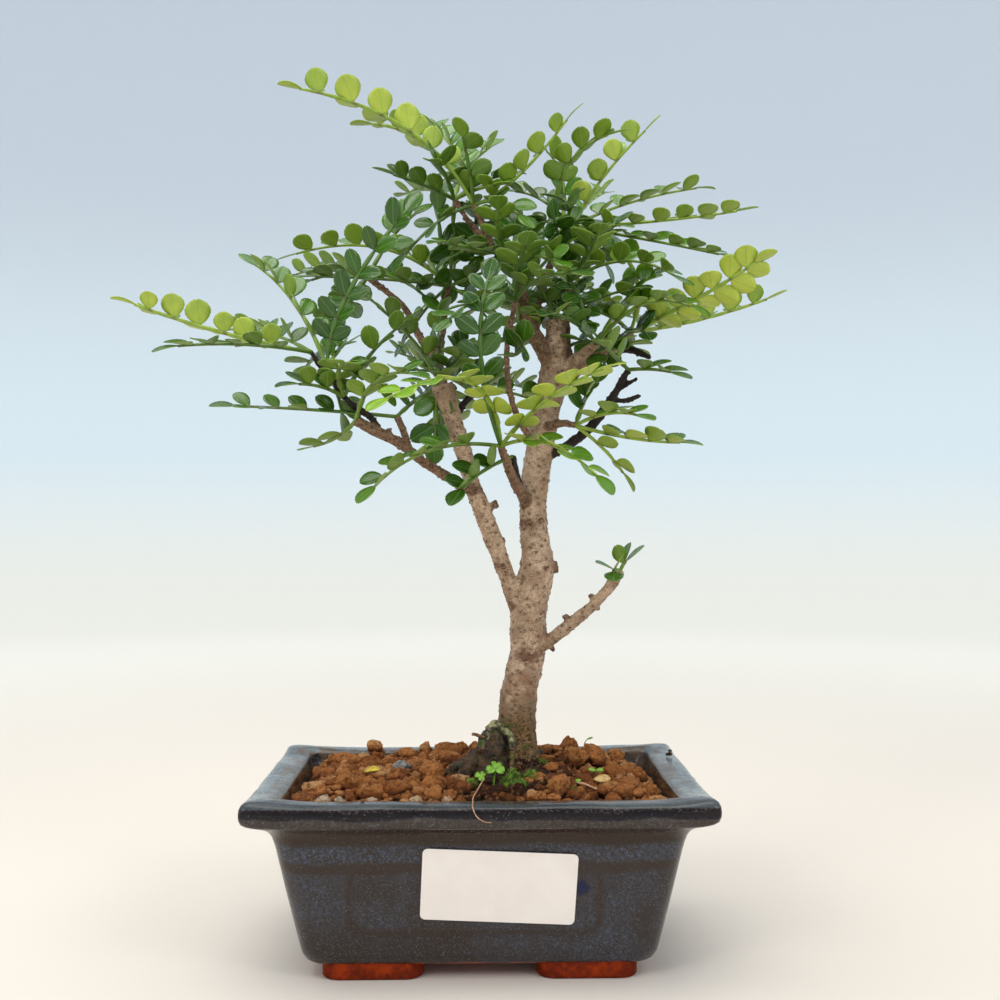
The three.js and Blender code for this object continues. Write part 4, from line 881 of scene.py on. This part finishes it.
def make_pot():
    """The glazed body: its smoothed sections, swayed a little as hand work is."""
    profile = smoothed(POT_SECTIONS, PROFILE_STEP)
    turning = int(np.argmax(profile[:, 1]))
    verts, thin, inner = [], [], []
    for i, (inset, z, radius) in enumerate(profile):
        half_x, half_y = RIM_LENGTH / 2 - inset, RIM_WIDTH / 2 - inset
        lip = clamped((z - 50) / 6) if i <= turning + 5 else 0.4
        ring = pot_ring(half_x, half_y, radius)
        for x, y in ring:
            out = Vector((x / RIM_LENGTH, y / RIM_WIDTH)).normalized()
            sway = wave(x, y, 0.06, 0.3) + 0.4 * wave(x, y, 0.2, 7.0)
            push = RIM_SWAY * lip * sway + WALL_SWAY * wave(x, y, 0.04, z * 0.05 + 3)
            on_panel = i < turning and abs(y) > PANEL_BEYOND and PANEL_FOOT < z < PANEL_HEAD
            lift, ridge = panel_relief(x, z) if on_panel else (0.0, 0.0)
            gap = math.hypot(half_x - abs(x), half_y - abs(y))
            pull = CORNER_PULL * lip * max(0.0, radius - gap)
            height = z + RIM_SWAY * lip * wave(x, y, 0.045, 5.0)
            height += CORNER_LIFT * lip * math.exp(-(gap / CORNER_REACH) ** 2)
            verts.append(at((x + out.x * push + math.copysign(pull, x),
                             y + out.y * push + math.copysign(lift + pull, y), height)))
            thin.append(0.8 * ridge)
            inner.append(1.0 if i > turning + 2 else 0.0)
    pot = place("pot_body", verts, ring_faces(len(profile), len(ring)), [GLAZE],
                marks={"thin": thin, "inner": inner})
    cut_drains(pot)
    return pot


def cut_drains(pot):
    """Two round drain holes through the floor."""
    cutters = []
    for x in (-DRAIN_X, DRAIN_X):
        verts, faces = tube([(x, 0, 0, DRAIN_RADIUS), (x, 0, DRAIN_CUT_TO, DRAIN_RADIUS)], DRAIN_SIDES)
        cutters.append(place("drain_cutter", [at(v) for v in verts], faces, [GLAZE]))
        hole = pot.modifiers.new("drain", "BOOLEAN")
        hole.operation = "DIFFERENCE"
        hole.object = cutters[-1]
    mesh = applied(pot)
    pot.modifiers.clear()
    pot.data = mesh
    for cutter in cutters:
        bpy.data.objects.remove(cutter)


def make_feet():
    """Four feet of bare clay, each a low block with rounded ends."""
    feet = Gather()
    for centre_x in (-FOOT_CENTRE[0], FOOT_CENTRE[0]):
        for centre_y in (-FOOT_CENTRE[1], FOOT_CENTRE[1]):
            verts = []
            for z, shrink in FOOT_LEVELS:
                half_x, half_y = FOOT_SIZE[0] / 2 - shrink, FOOT_SIZE[1] / 2 - shrink
                for row in corner_rows(half_x, half_y, half_y - FOOT_FLAT, OUTLINE_STEPS):
                    verts += [(centre_x + x, centre_y + y, z) for x, y in row]
            feet.add(verts, ring_faces(len(FOOT_LEVELS), len(verts) // len(FOOT_LEVELS)))
    return feet.build("pot_feet", CLAY)


def make_sticker():
    """Blank paper lying on the front wall, with rounded corners."""
    low, high = POT_SECTIONS[4], POT_SECTIONS[6]
    slope = (low[0] - high[0]) / (high[1] - low[1])
    cos, sin = math.cos(STICKER_TURN), math.sin(STICKER_TURN)
    outline = sum(corner_rows(STICKER_SIZE[0] / 2, STICKER_SIZE[1] / 2, STICKER_CORNER, OUTLINE_STEPS), [])
    verts = []
    for lift in (STICKER_LIFT, STICKER_LIFT + STICKER_THICKNESS):
        for u, w in outline:
            z = STICKER_CENTRE[1] + (u * sin + w * cos) * math.cos(math.atan(slope))
            wall = RIM_WIDTH / 2 - (low[0] - (z - low[1]) * slope)
            verts.append(at((STICKER_CENTRE[0] + u * cos - w * sin, -wall - lift, z)))
    return place("sticker_paper", verts, ring_faces(2, len(outline)), [PAPER], smooth=False)


# Tree

def tree_rows():
    """Every limb and stub as the finish at its points, a smooth row of points, and a number of sides."""
    for finish, rows in LIMBS:
        path = smoothed(rows, 2.0)
        path[:, 3] *= [1 + 0.09 * noise.noise(Vector(p[:3]) * 0.2) for p in path]
        yield [finish] * len(path), path, 20 if rows[0][3] > 3 else 12
    for start, end, radius in STUBS:
        middle = np.array(start) * 0.35 + np.array(end) * 0.65
        path = smoothed([(*start, radius * 1.5), (*middle, radius * 0.9), (*end, radius * 1.1)], 1.0)
        yield [BROWN * k / (len(path) - 1) for k in range(len(path))], path, 12


def make_tree():
    """All limbs melted into one body, then roughened as bark."""
    limbs, samples = Gather(), []
    for finishes, path, sides in tree_rows():
        limbs.add(*tube(path, sides))
        samples += [(Vector(p[:3]), p[3], finish) for p, finish in zip(path, finishes)]
    rough = place("rough_tree", np.concatenate(limbs.verts), limbs.faces, [BARK])
    remesh = rough.modifiers.new("voxels", "REMESH")
    remesh.mode = "VOXEL"
    remesh.voxel_size = BARK_VOXEL
    rough.modifiers.new("soften", "SMOOTH").iterations = BARK_SOFTENING
    mesh = applied(rough)
    bpy.data.objects.remove(rough)

    finder = kdtree.KDTree(len(samples))
    for k, (point, _, _) in enumerate(samples):
        finder.insert(point, k)
    finder.balance()
    verts, finish = [], []
    for vertex in mesh.vertices:
        spot = vertex.co
        near = finder.find_n(spot, BARK_NEIGHBOURS)
        weights = [1 / (max(0.0, d - samples[k][1]) + 0.35) ** 3 for _, k, d in near]
        finish.append(sum(w * samples[k][2] for w, (_, k, _) in zip(weights, near)) / sum(weights))
        mossy = clamped(-finish[-1]) + 0.8 * max(0.0, 1 - abs(spot.z - MOSSY_HEIGHT) / MOSSY_REACH)
        lumps = noise.fractal(spot * 0.22, 0.7, 2.0, 4) + 0.35 * mossy * noise.noise(spot * 1.3)
        warts = max(0.0, noise.noise(spot * 1.15) - 0.25)
        relief = (BARK_RELIEF + MOSSY_RELIEF * mossy) * lumps + WART_RELIEF * warts
        verts.append(at(spot + vertex.normal * relief))
    faces = [tuple(f.vertices) for f in mesh.polygons]
    return place("tree_wood", verts, faces, [BARK], marks={"finish": finish})


# Leaves

def leaflet_sheet():
    """A leaflet of length 1 and width 1: places along it and across it, and its sag."""
    rows = []
    for i in range(LEAFLET_ALONG + 1):
        u = 0.012 + 0.976 * i / LEAFLET_ALONG
        half = 0.5 * math.sin(math.pi * u ** 1.13) ** 0.6
        half *= 1 + 0.04 * math.cos(2 * math.pi * SCALLOPS * u) * math.sin(math.pi * u)
        for j in range(LEAFLET_ACROSS + 1):
            v = 2 * j / LEAFLET_ACROSS - 1
            pull = 0.035 * (1 - abs(v)) ** 2 * (u > 0.9) * (u - 0.9) / 0.088
            quilt = 0.008 * math.sin(40 * (u - 0.3 * abs(v))) * abs(v) * (1 - abs(v)) * 4
            rows.append((u - pull, v * half, 0.16 * half * abs(v) ** 1.3 - 0.08 * u * u + quilt))
    return np.array(rows).T


SHEET = leaflet_sheet()
SHEET_FACES, SHEET_SIDES = sheet_faces(LEAFLET_ALONG, LEAFLET_ACROSS)


class Spray(Gather):
    """The compound leaves of one shoot."""

    def __init__(self, seed):
        super().__init__()
        self.chance = random.Random(seed)

    def leaflet(self, base, lengthwise, across, normal, length, width, tint):
        along, sideways, sag = SHEET
        bend = self.chance.uniform(-0.10, 0.12)
        cup = self.chance.uniform(0.4, 1.5)
        rise = sag * cup * width + bend * along ** 2 * length
        middle = (base + np.outer(along * length, lengthwise) + np.outer(sideways * width, across)
                  + np.outer(rise, normal))
        half = normal * LEAFLET_THICKNESS / 2
        chance = self.chance.random()
        blade = np.column_stack([along, sideways / 0.5, np.full(len(along), chance)])
        tint = clamped(tint + self.chance.uniform(-0.12, 0.12))
        self.add(np.vstack([middle + half, middle - half]), SHEET_FACES, SHEET_SIDES,
                 tint=np.full(2 * len(along), tint), blade=np.vstack([blade, blade]),
                 node_dot=np.zeros(2 * len(along)))

    def stalk(self, frames, widths, depths, tint, dots):
        verts = []
        for (centre, _, up, right), width, depth in zip(frames, widths, depths):
            for k in range(STALK_SIDES):
                angle = 2 * math.pi * k / STALK_SIDES
                verts.append(centre + right * width * math.cos(angle) + up * depth * math.sin(angle))
        faces = ring_faces(len(frames), STALK_SIDES)
        self.add(verts, faces, [2] * len(faces), tint=np.full(len(verts), tint),
                 blade=np.zeros((len(verts), 3)), node_dot=np.repeat(dots, STALK_SIDES))

    def compound_leaf(self, shoot, row):
        """A stalk that bends through its middle point, pairs of leaflets, and one at the tip."""
        start, middle, tip, face = (np.array(p, float) for p in (shoot, row["by"], row["to"], row["top"]))
        bend = 2 * middle - 0.5 * start - 0.5 * tip

        def frame_at(t):
            centre = (1 - t) ** 2 * start + 2 * t * (1 - t) * bend + t * t * tip
            along = unit(2 * (1 - t) * (bend - start) + 2 * t * (tip - bend))
            up = unit(face - along * face.dot(along))
            return centre, along, up, np.cross(along, up)

        places = [frame_at(t)[0] for t in np.linspace(0, 1, 60)]
        reach = sum(np.linalg.norm(b - a) for a, b in zip(places, places[1:]))
        bare, tint, fold = row["bare"], row["tint"], math.radians(row["fold"])
        end = 1 - TIP_ROOM * LEAFLET_LENGTH / reach
        pairs = max(1, round((end - bare) * reach / row["pitch"]))
        pitch = (end - bare) / pairs
        width_cap = max(pitch * reach * 1.05, 5.0)
        stations = [bare + pitch * (i + 0.5) for i in range(pairs)] + [end]
        steps = np.linspace(0, end + 0.01, pairs * 7 + 5)
        nearest = [min(abs(t - s) for s in stations) for t in steps]
        taper = [1.5 - 0.65 * t for t in steps]
        wings = [s * (0.46 + 0.30 * min(1.0, near / (0.3 * pitch)) * (t > bare * 0.8))
                 for t, near, s in zip(steps, nearest, taper)]
        dots = [1.0 if near < 0.07 * pitch else 0.0 for near in nearest]
        self.stalk([frame_at(t) for t in steps], wings, [0.46 * s for s in taper], tint, dots)
        for i, t in enumerate(stations[:-1]):
            centre, along, up, right = frame_at(t)
            swell = 0.80 + 0.20 * math.sin(math.pi * (i + 1) / (pairs + 1))
            for side in (-1, 1):
                angle = fold + self.chance.uniform(-FOLD_SPREAD, FOLD_SPREAD)
                lean = LEAFLET_LEAN + OLD_LEAN * (1 - tint) + self.chance.uniform(-LEAN_SPREAD, LEAN_SPREAD)
                size = row["size"] * swell * self.chance.uniform(0.86, 1.1)
                twist = self.chance.uniform(-TWIST_SPREAD, TWIST_SPREAD)
                outward = right * side * math.cos(angle) + up * math.sin(angle)
                normal = up * math.cos(angle) - right * side * math.sin(angle)
                lengthwise = outward * math.cos(lean) + along * math.sin(lean)
                across = along * math.cos(lean) - outward * math.sin(lean)
                across, normal = (across * math.cos(twist) + normal * math.sin(twist),
                                  normal * math.cos(twist) - across * math.sin(twist))
                length = size * LEAFLET_LENGTH * (1.04 - 0.15 * tint)
                width = min(size * LEAFLET_WIDTH * (0.74 + 0.48 * tint), width_cap)
                self.leaflet(centre + outward * 0.35, lengthwise, -side * across, normal, length, width, tint)
        centre, along, up, _ = frame_at(end)
        level = TIP_LEVELLING * max(0.0, unit(face)[2]) * np.array(TOWARD, float)
        up = unit(up + level - along * level.dot(along))
        self.leaflet(centre, along, np.cross(along, up), up, *TIP_LEAFLET, tint)


def fillers(name, shoot, rows):
    """Short old leaves that fill the crown round a shoot, away from its own leaves."""
    chance = random.Random(name)
    start = np.array(shoot, float)
    taken = [unit(np.array(r["to"], float) - start) for r in rows]
    made = []
    for _ in range(FILLER_TRIES):
        if len(made) == FILLERS:
            break
        way = unit(np.array([chance.gauss(0, 1), chance.gauss(0, 1), chance.gauss(0.25, 0.7)]))
        tip = start + way * chance.uniform(*FILLER_REACH)
        inside = np.linalg.norm((tip - CROWN_CENTRE) / CROWN_RADII) < 1
        left, right = WOOD_SHOWS_X
        hides_wood = tip[1] < WOOD_SHOWS_Y and tip[2] < WOOD_SHOWS_Z and left < tip[0] < right
        if not inside or hides_wood or any(way.dot(t) > FILLER_CROWDING for t in taken):
            continue
        taken.append(way)
        middle = (start + tip) / 2 + np.array([0, 0, chance.uniform(1, 5)])
        face = unit(np.array([chance.uniform(-0.4, 0.4), -0.45, 1.0]))
        made.append(leaf(middle, tip, chance.uniform(0.0, 0.5), top=face, fold=chance.uniform(12, 42)))
    return made


def make_leaves():
    for number, (name, (shoot, rows)) in enumerate(SPRAYS.items()):
        spray = Spray(number)
        for row in rows + (fillers(name, shoot, rows) if name in FILLED else []):
            spray.compound_leaf(shoot, row)
        settle(spray.build(f"leaves_{name}", LEAF_TOP, LEAF_UNDER_GLOW, STALK), [f"spray_{name}"])


# Granules and what grows among them

def bed_height(x, y):
    """Height of the ground among the granules."""
    to_wall = min(RIM_LENGTH / 2 - WALL_INSET - abs(x), RIM_WIDTH / 2 - WALL_INSET - abs(y))
    t = clamped(to_wall / BED_SLOPE)
    front = BED_FRONT_RISE * clamped((-y - 22) / 14) * (1 - t)
    mounds = sum(rise * math.exp(-(math.hypot(x - cx, y - cy) / reach) ** 2)
                 for cx, cy, rise, reach in MOUNDS)
    return BED_EDGE_HEIGHT + front + BED_RISE * t * t * (3 - 2 * t) + mounds


def dark_patch(x, y):
    """1 on the dark fibrous ground round the trunk, 0 away from it."""
    away = math.hypot((x - PATCH_CENTRE[0]) / PATCH_RADII[0], (y - PATCH_CENTRE[1]) / PATCH_RADII[1])
    return clamped(1.6 - away * 1.2)


def make_bed():
    """Dark crumbs between the granules: a closed body with a rough top."""
    half_x, half_y = RIM_LENGTH / 2 - BED_INSET, RIM_WIDTH / 2 - BED_INSET
    nx, ny = BED_GRID
    upper, lower = [], []
    for j in range(ny + 1):
        for i in range(nx + 1):
            x, y = half_x * (2 * i / nx - 1), half_y * (2 * j / ny - 1)
            past = math.hypot(max(abs(x) - half_x + BED_CORNER, 0), max(abs(y) - half_y + BED_CORNER, 0))
            past -= BED_CORNER
            if past > 0:
                x -= math.copysign(past * 0.7, x)
                y -= math.copysign(past * 0.7, y)
            dark = dark_patch(x, y)
            rough = noise.fractal(Vector((x, y, 3.0)) * 0.45, 0.8, 2.0, 4) * (1.1 + 0.7 * dark)
            upper.append((x, y, bed_height(x, y) - BED_SINK + PATCH_LIFT * dark + rough))
            lower.append((x * BED_TAPER, y * BED_TAPER, BED_BOTTOM))
    bed = Gather()
    bed.add(upper + lower, [(f[0], *f[:0:-1]) for f in sheet_faces(ny, nx)[0]])
    return bed.build("soil_bed", PEAT)


def lump_shapes(levels, count, chance):
    """Broken, pitted crumbs of radius about 1, as arrays of points and faces."""
    shapes = []
    for _ in range(count):
        bm = bmesh.new()
        bmesh.ops.create_icosphere(bm, subdivisions=levels, radius=1.0)
        offset = Vector([chance.uniform(0, 50) for _ in range(3)])
        stretch = Vector((chance.uniform(0.85, 1.25), chance.uniform(0.75, 1.05), chance.uniform(0.6, 0.95)))
        cuts = [(Vector([chance.gauss(0, 1) for _ in range(3)]).normalized(), chance.uniform(0.5, 0.85))
                for _ in range(LUMP_CUTS)]
        for v in bm.verts:
            p = v.co.copy()
            for direction, reach in cuts:
                p -= direction * max(0.0, p.dot(direction) - reach) * 0.9
            crags = 1 - abs(noise.noise(p * 2.3 + offset)) * 2
            p *= (0.95 + 0.26 * noise.noise(p * 1.4 + offset) + 0.17 * crags
                  + 0.11 * noise.noise(p * 4.6 + offset))
            v.co = p * stretch
        faces = [tuple(v.index for v in f.verts) for f in bm.faces]
        shapes.append((np.array([v.co for v in bm.verts]), faces))
        bm.free()
    return shapes


class Heap(Gather):
    """Crumbs and stones."""

    def drop(self, shape, turn, radius, centre, shade):
        points, faces = shape
        points = points @ np.array(turn).T
        # Painted shade: each crumb is darkened on its lower side, standing in for the shade in the crevices
        # between crumbs
        lump = shade - 1.3 * np.clip(0.32 - points[:, 2], 0, 1)
        self.add(points * radius + np.array(centre), faces, lump=lump)


def make_granules():
    """The granules that the photograph singles out, and others between them in four sizes."""
    chance = random.Random(SEEDS["granules"])
    shapes = {levels: lump_shapes(levels, count, chance) for levels, count in ((4, 8), (3, 16), (2, 14))}
    half_x, half_y = RIM_LENGTH / 2 - GRANULE_INSET, RIM_WIDTH / 2 - GRANULE_INSET
    coarse, fine = Heap(), Heap()
    grid = {}

    def drop(heap, x, y, z, radius, shade, levels, tilt):
        spin = Matrix.Rotation(chance.uniform(0, 6.28), 3, "Z")
        turn = spin @ Matrix.Rotation(chance.uniform(-tilt, tilt), 3, "X")
        heap.drop(chance.choice(shapes[levels]), turn, radius, (x, y, z), shade)
        grid.setdefault((x // CELL, y // CELL), []).append((x, y, radius))

    def clear(x, y, radius, gap):
        near = [p for i in (-1, 0, 1) for j in (-1, 0, 1)
                for p in grid.get((x // CELL + i, y // CELL + j), ())]
        return all(math.hypot(x - px, y - py) > gap * (radius + pr) for px, py, pr in near)

    for x, y, z, radius, shade in SINGLE_LUMPS:
        drop(coarse, x, y, z or bed_height(x, y) - 0.2, radius, shade, 4 if radius > 3 else 3, 0.5)
    for largest, smallest, wanted, levels, gap in GRANULE_CLASSES:
        for _ in range(wanted):
            radius = chance.uniform(smallest, largest)
            for _ in range(GRANULE_TRIES):
                x = chance.uniform(-half_x + radius * 0.8, half_x - radius * 0.8)
                y = chance.uniform(-half_y + radius * 0.8, half_y - radius * 0.8)
                patch = dark_patch(x, y)
                if math.dist((x, y), TRUNK_FOOT) < TRUNK_CLEARANCE + radius * 0.6:
                    continue
                if levels == 3 and chance.random() < 0.9 * patch:
                    continue
                if clear(x, y, radius, gap):
                    break
            else:
                continue
            z = bed_height(x, y) - 1.9 + chance.uniform(-0.6, 0.8) + 0.22 * radius + 0.6 * patch
            shade = 0.84 * chance.random() + 0.14 * (chance.random() < 0.05)
            shade -= 1.2 * patch * (chance.random() < 0.9)
            drop(coarse if levels == 3 else fine, x, y, z, radius, shade, levels, 0.7)
    return coarse.build("soil_granules_coarse", GRANULES), fine.build("soil_granules_fine", GRANULES)


def make_strays():
    """Crumbs that lie on the rim."""
    heap = Heap()
    chance = random.Random(SEEDS["strays"])
    shapes = lump_shapes(2, 4, chance)
    for x, y, z, radius, shade in STRAY_CRUMBS:
        shape = chance.choice(shapes)
        heap.drop(shape, Matrix.Rotation(chance.uniform(0, 6), 3, "Z"), radius, (x, y, z), shade)
    return heap.build("rim_crumbs", GRANULES)


def make_stone():
    heap = Heap()
    shape = lump_shapes(4, 1, random.Random(SEEDS["stone"]))[0]
    heap.drop(shape, Matrix.Rotation(0.4, 3, "Z"), STONE_RADIUS, STONE_AT, 0.5)
    return heap.build("stone", STONE)


class Greens(Gather):
    """Small plants, threads and fallen leaflets."""

    def thread(self, rows, sides=6, step=0.6):
        self.add(*tube(smoothed(rows, step), sides))

    def blade(self, base, lengthwise, normal, length, width, notch=0.0, cup=0.3):
        """A thin rounded leaf with an optional notch at its tip."""
        lengthwise, normal = unit(np.array(lengthwise, float)), np.array(normal, float)
        normal = unit(normal - lengthwise * normal.dot(lengthwise))
        across = np.cross(normal, lengthwise)
        verts = []
        for side in (1, -1):
            for i in range(BLADE_ALONG + 1):
                u = 0.02 + 0.96 * i / BLADE_ALONG
                half = math.sin(math.pi * u ** 1.25) ** 0.6 / 2
                for j in range(BLADE_ACROSS + 1):
                    v = 2 * j / BLADE_ACROSS - 1
                    dip = notch * (1 - abs(v)) * max(0.0, (u - 0.6) / 0.38)
                    rise = cup * width * (half * abs(v)) ** 1.5 + side * BLADE_THICKNESS / 2
                    verts.append(np.array(base) + lengthwise * (u - dip) * length + across * v * half * width
                                 + normal * rise)
        self.add(verts, sheet_faces(BLADE_ALONG, BLADE_ACROSS)[0])


def make_clover():
    """The trifoliate seedling in front of the trunk, with a younger leaf beside it."""
    plant = Greens()
    for rows, (centre, turns, normal, length, width) in zip(CLOVER_STEMS, CLOVER_LEAVES):
        plant.thread(rows)
        for turn in turns:
            x, y = math.cos(math.radians(turn)), math.sin(math.radians(turn))
            plant.blade(centre, (x, 0.75 * y, 0.66 * y), normal, length, width, notch=0.3, cup=0.6)
    return plant.build("clover", WEED)


def make_weeds():
    """A seedling with two round leaves, a curled sprout, and a fallen green leaf end."""
    plant = Greens()
    for rows in WEED_STEMS:
        plant.thread(rows)
    for row in WEED_BLADES:
        plant.blade(*row)
    return plant.build("weeds", WEED)


def make_moss():
    """Cushions of short bright spikes, and a thin scatter at the foot of the trunk."""
    chance = random.Random(SEEDS["moss"])
    moss = Greens()
    for cx, cy, cz, reach, tall, count in MOSS_CUSHIONS:
        for _ in range(count):
            angle, away = chance.uniform(0, 6.28), reach * math.sqrt(chance.random())
            x, y = cx + away * math.cos(angle), cy + away * math.sin(angle)
            z = cz + tall * (1 - (away / reach) ** 2) + chance.uniform(-0.7, 0.4)
            for _ in range(TUFT_SPIKES):
                lean = np.array([chance.gauss(0, 0.9), chance.gauss(-0.2, 0.9), 1.0])
                tip = np.array([x, y, z]) + unit(lean) * chance.uniform(*SPIKE_LENGTH)
                spin = chance.uniform(0, 6.28)
                foot = [(x + SPIKE_RADIUS * math.cos(spin + k), y + SPIKE_RADIUS * math.sin(spin + k),
                         z - 0.6) for k in (0, 2.1, 4.2)]
                moss.add([*foot, tip], [(0, 2, 1), (0, 1, 3), (1, 2, 3), (2, 0, 3)])
    return moss.build("moss_tufts", MOSS)


def make_threads():
    """Dark root threads on the ground round the trunk, and the pale root that hangs over the rim."""
    chance = random.Random(SEEDS["threads"])
    dark = Greens()
    for _ in range(THREAD_COUNT):
        x = PATCH_CENTRE[0] + chance.gauss(0, 9)
        y = PATCH_CENTRE[1] + chance.gauss(0, 7)
        if math.dist((x, y), TRUNK_FOOT) < 8 or abs(y) > 36:
            continue
        heading, rows = chance.uniform(0, 6.28), []
        for _ in range(THREAD_POINTS):
            rows.append((x, y, bed_height(x, y) - 0.1 + chance.uniform(-0.5, 0.9), chance.uniform(0.16, 0.3)))
            heading += chance.uniform(-0.7, 0.7)
            x, y = x + THREAD_STEP * math.cos(heading), y + THREAD_STEP * math.sin(heading)
        dark.thread(rows, 5, 0.9)
    pale = Greens()
    pale.thread(HANGING_ROOT, 7, 0.7)
    pale.thread(FALLEN_ROOT)
    return dark.build("root_threads", THREADS), pale.build("pale_threads", PALE_ROOT)


def make_fallen():
    """Two fallen leaflets: a yellow one on the left and a straw-coloured one on the right."""
    left, right = Greens(), Greens()
    z = bed_height(-36, -12) + 1.6
    left.blade((-39.5, -12, z), (1, -0.1, 0.12), (0.1, -0.5, 1), 5.6, 2.8, cup=0.9)
    z = bed_height(41, -25) + 1.0
    right.blade((37.6, -24, z), (1, -0.2, 0.05), (-0.3, -0.6, 1), 5.8, 3.6, cup=0.25)
    return left.build("yellow_leaflet", YELLOW), right.build("straw_leaflet", STRAW)


# Stage: floor, light and camera

def make_stage():
    """A floor that curves up into a pale wall all round, like a paper sweep."""
    profile = [(0.0001, 0.0), (FLOOR_RADIUS, 0.0)]
    profile += [(FLOOR_RADIUS + FLOOR_CURVE * math.sin(a), FLOOR_CURVE * (1 - math.cos(a)))
                for a in np.linspace(0.1, math.pi / 2, 14)]
    profile.append((FLOOR_RADIUS + FLOOR_CURVE, WALL_TOP))
    angles = [2 * math.pi * k / FLOOR_SIDES for k in range(FLOOR_SIDES)]
    verts = [(r * math.cos(a), r * math.sin(a), z - FLOOR_GAP) for r, z in profile for a in angles]
    n = Nodes("backdrop")
    x, y, z = n.split(n.place)
    away = n.math("SQRT", n.plus(n.times(x, x), n.times(y, y)))
    color = n.over(n.mix(n.ramp(away, 0.2, 1.1), (0.69, 0.635, 0.57), (0.83, 0.81, 0.74)),
                   (n.ramp(z, 0.0, 0.30), (0.655, 0.745, 0.79)),
                   (n.ramp(z, 0.30, 0.90), (0.545, 0.60, 0.665)))
    glow = n.plus(n.ramp(away, 0.5, 1.2, 0.0, FLOOR_GLOW), n.ramp(z, 0.0, 0.25, 0.0, WALL_GLOW))
    paper = n.finished(Base_Color=color, Roughness=1.0, Specular_IOR_Level=0.0, Emission_Color=color,
                       Emission_Strength=glow)
    paper.cycles.emission_sampling = "NONE"
    place("stage_backdrop", verts, ring_faces(len(profile), FLOOR_SIDES, capped=False), [paper])
    world = bpy.data.worlds.new("soft")
    world.use_nodes = True
    background = world.node_tree.nodes["Background"]
    background.inputs[0].default_value = (1.0, 0.99, 0.97, 1.0)
    background.inputs[1].default_value = WORLD_LIGHT
    bpy.context.scene.world = world
    bpy.context.scene.view_settings.view_transform = "Standard"


def make_lights():
    for name, (lamp_at, aim, size, power, color) in LAMPS.items():
        light = bpy.data.lights.new(name, "AREA")
        light.shape = "DISK"
        light.size = size
        light.energy = power
        light.color = color
        lamp = bpy.data.objects.new(name, light)
        lamp.location = lamp_at
        lamp.rotation_euler = (Vector(aim) - Vector(lamp_at)).to_track_quat("-Z", "Y").to_euler()
        bpy.context.scene.collection.objects.link(lamp)


def make_camera():
    camera = bpy.data.cameras.new("camera")
    camera.lens = CAMERA_LENS
    camera.sensor_width = SENSOR
    camera.clip_start = 0.01
    holder = bpy.data.objects.new("camera", camera)
    holder.location = at(CAMERA_AT)
    holder.rotation_euler = (math.radians(90 + CAMERA_PITCH), 0, math.radians(CAMERA_YAW))
    bpy.context.scene.collection.objects.link(holder)
    bpy.context.scene.camera = holder


make_camera()
make_stage()
make_lights()
settle(make_pot(), ["pot"])
settle(make_feet(), ["pot"])
settle(make_sticker(), ["sticker"])
settle(make_tree(), ["tree"])
make_leaves()
settle(make_bed(), ["soil"])
for piece in make_granules():
    settle(piece, ["soil"])
settle(make_strays())
settle(make_clover(), ["clover_seedling"])
settle(make_weeds())
settle(make_moss())
for piece in make_threads():
    settle(piece)
for piece, node in zip(make_fallen(), ("fallen_leaflet_left", "fallen_leaflet_right")):
    settle(piece, [node])
settle(make_stone(), ["grey_stone"])
for node in ("drain_mesh_left", "drain_mesh_right"):
    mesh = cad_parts[node].data
    mesh.materials.clear()
    mesh.materials.append(PLASTIC)
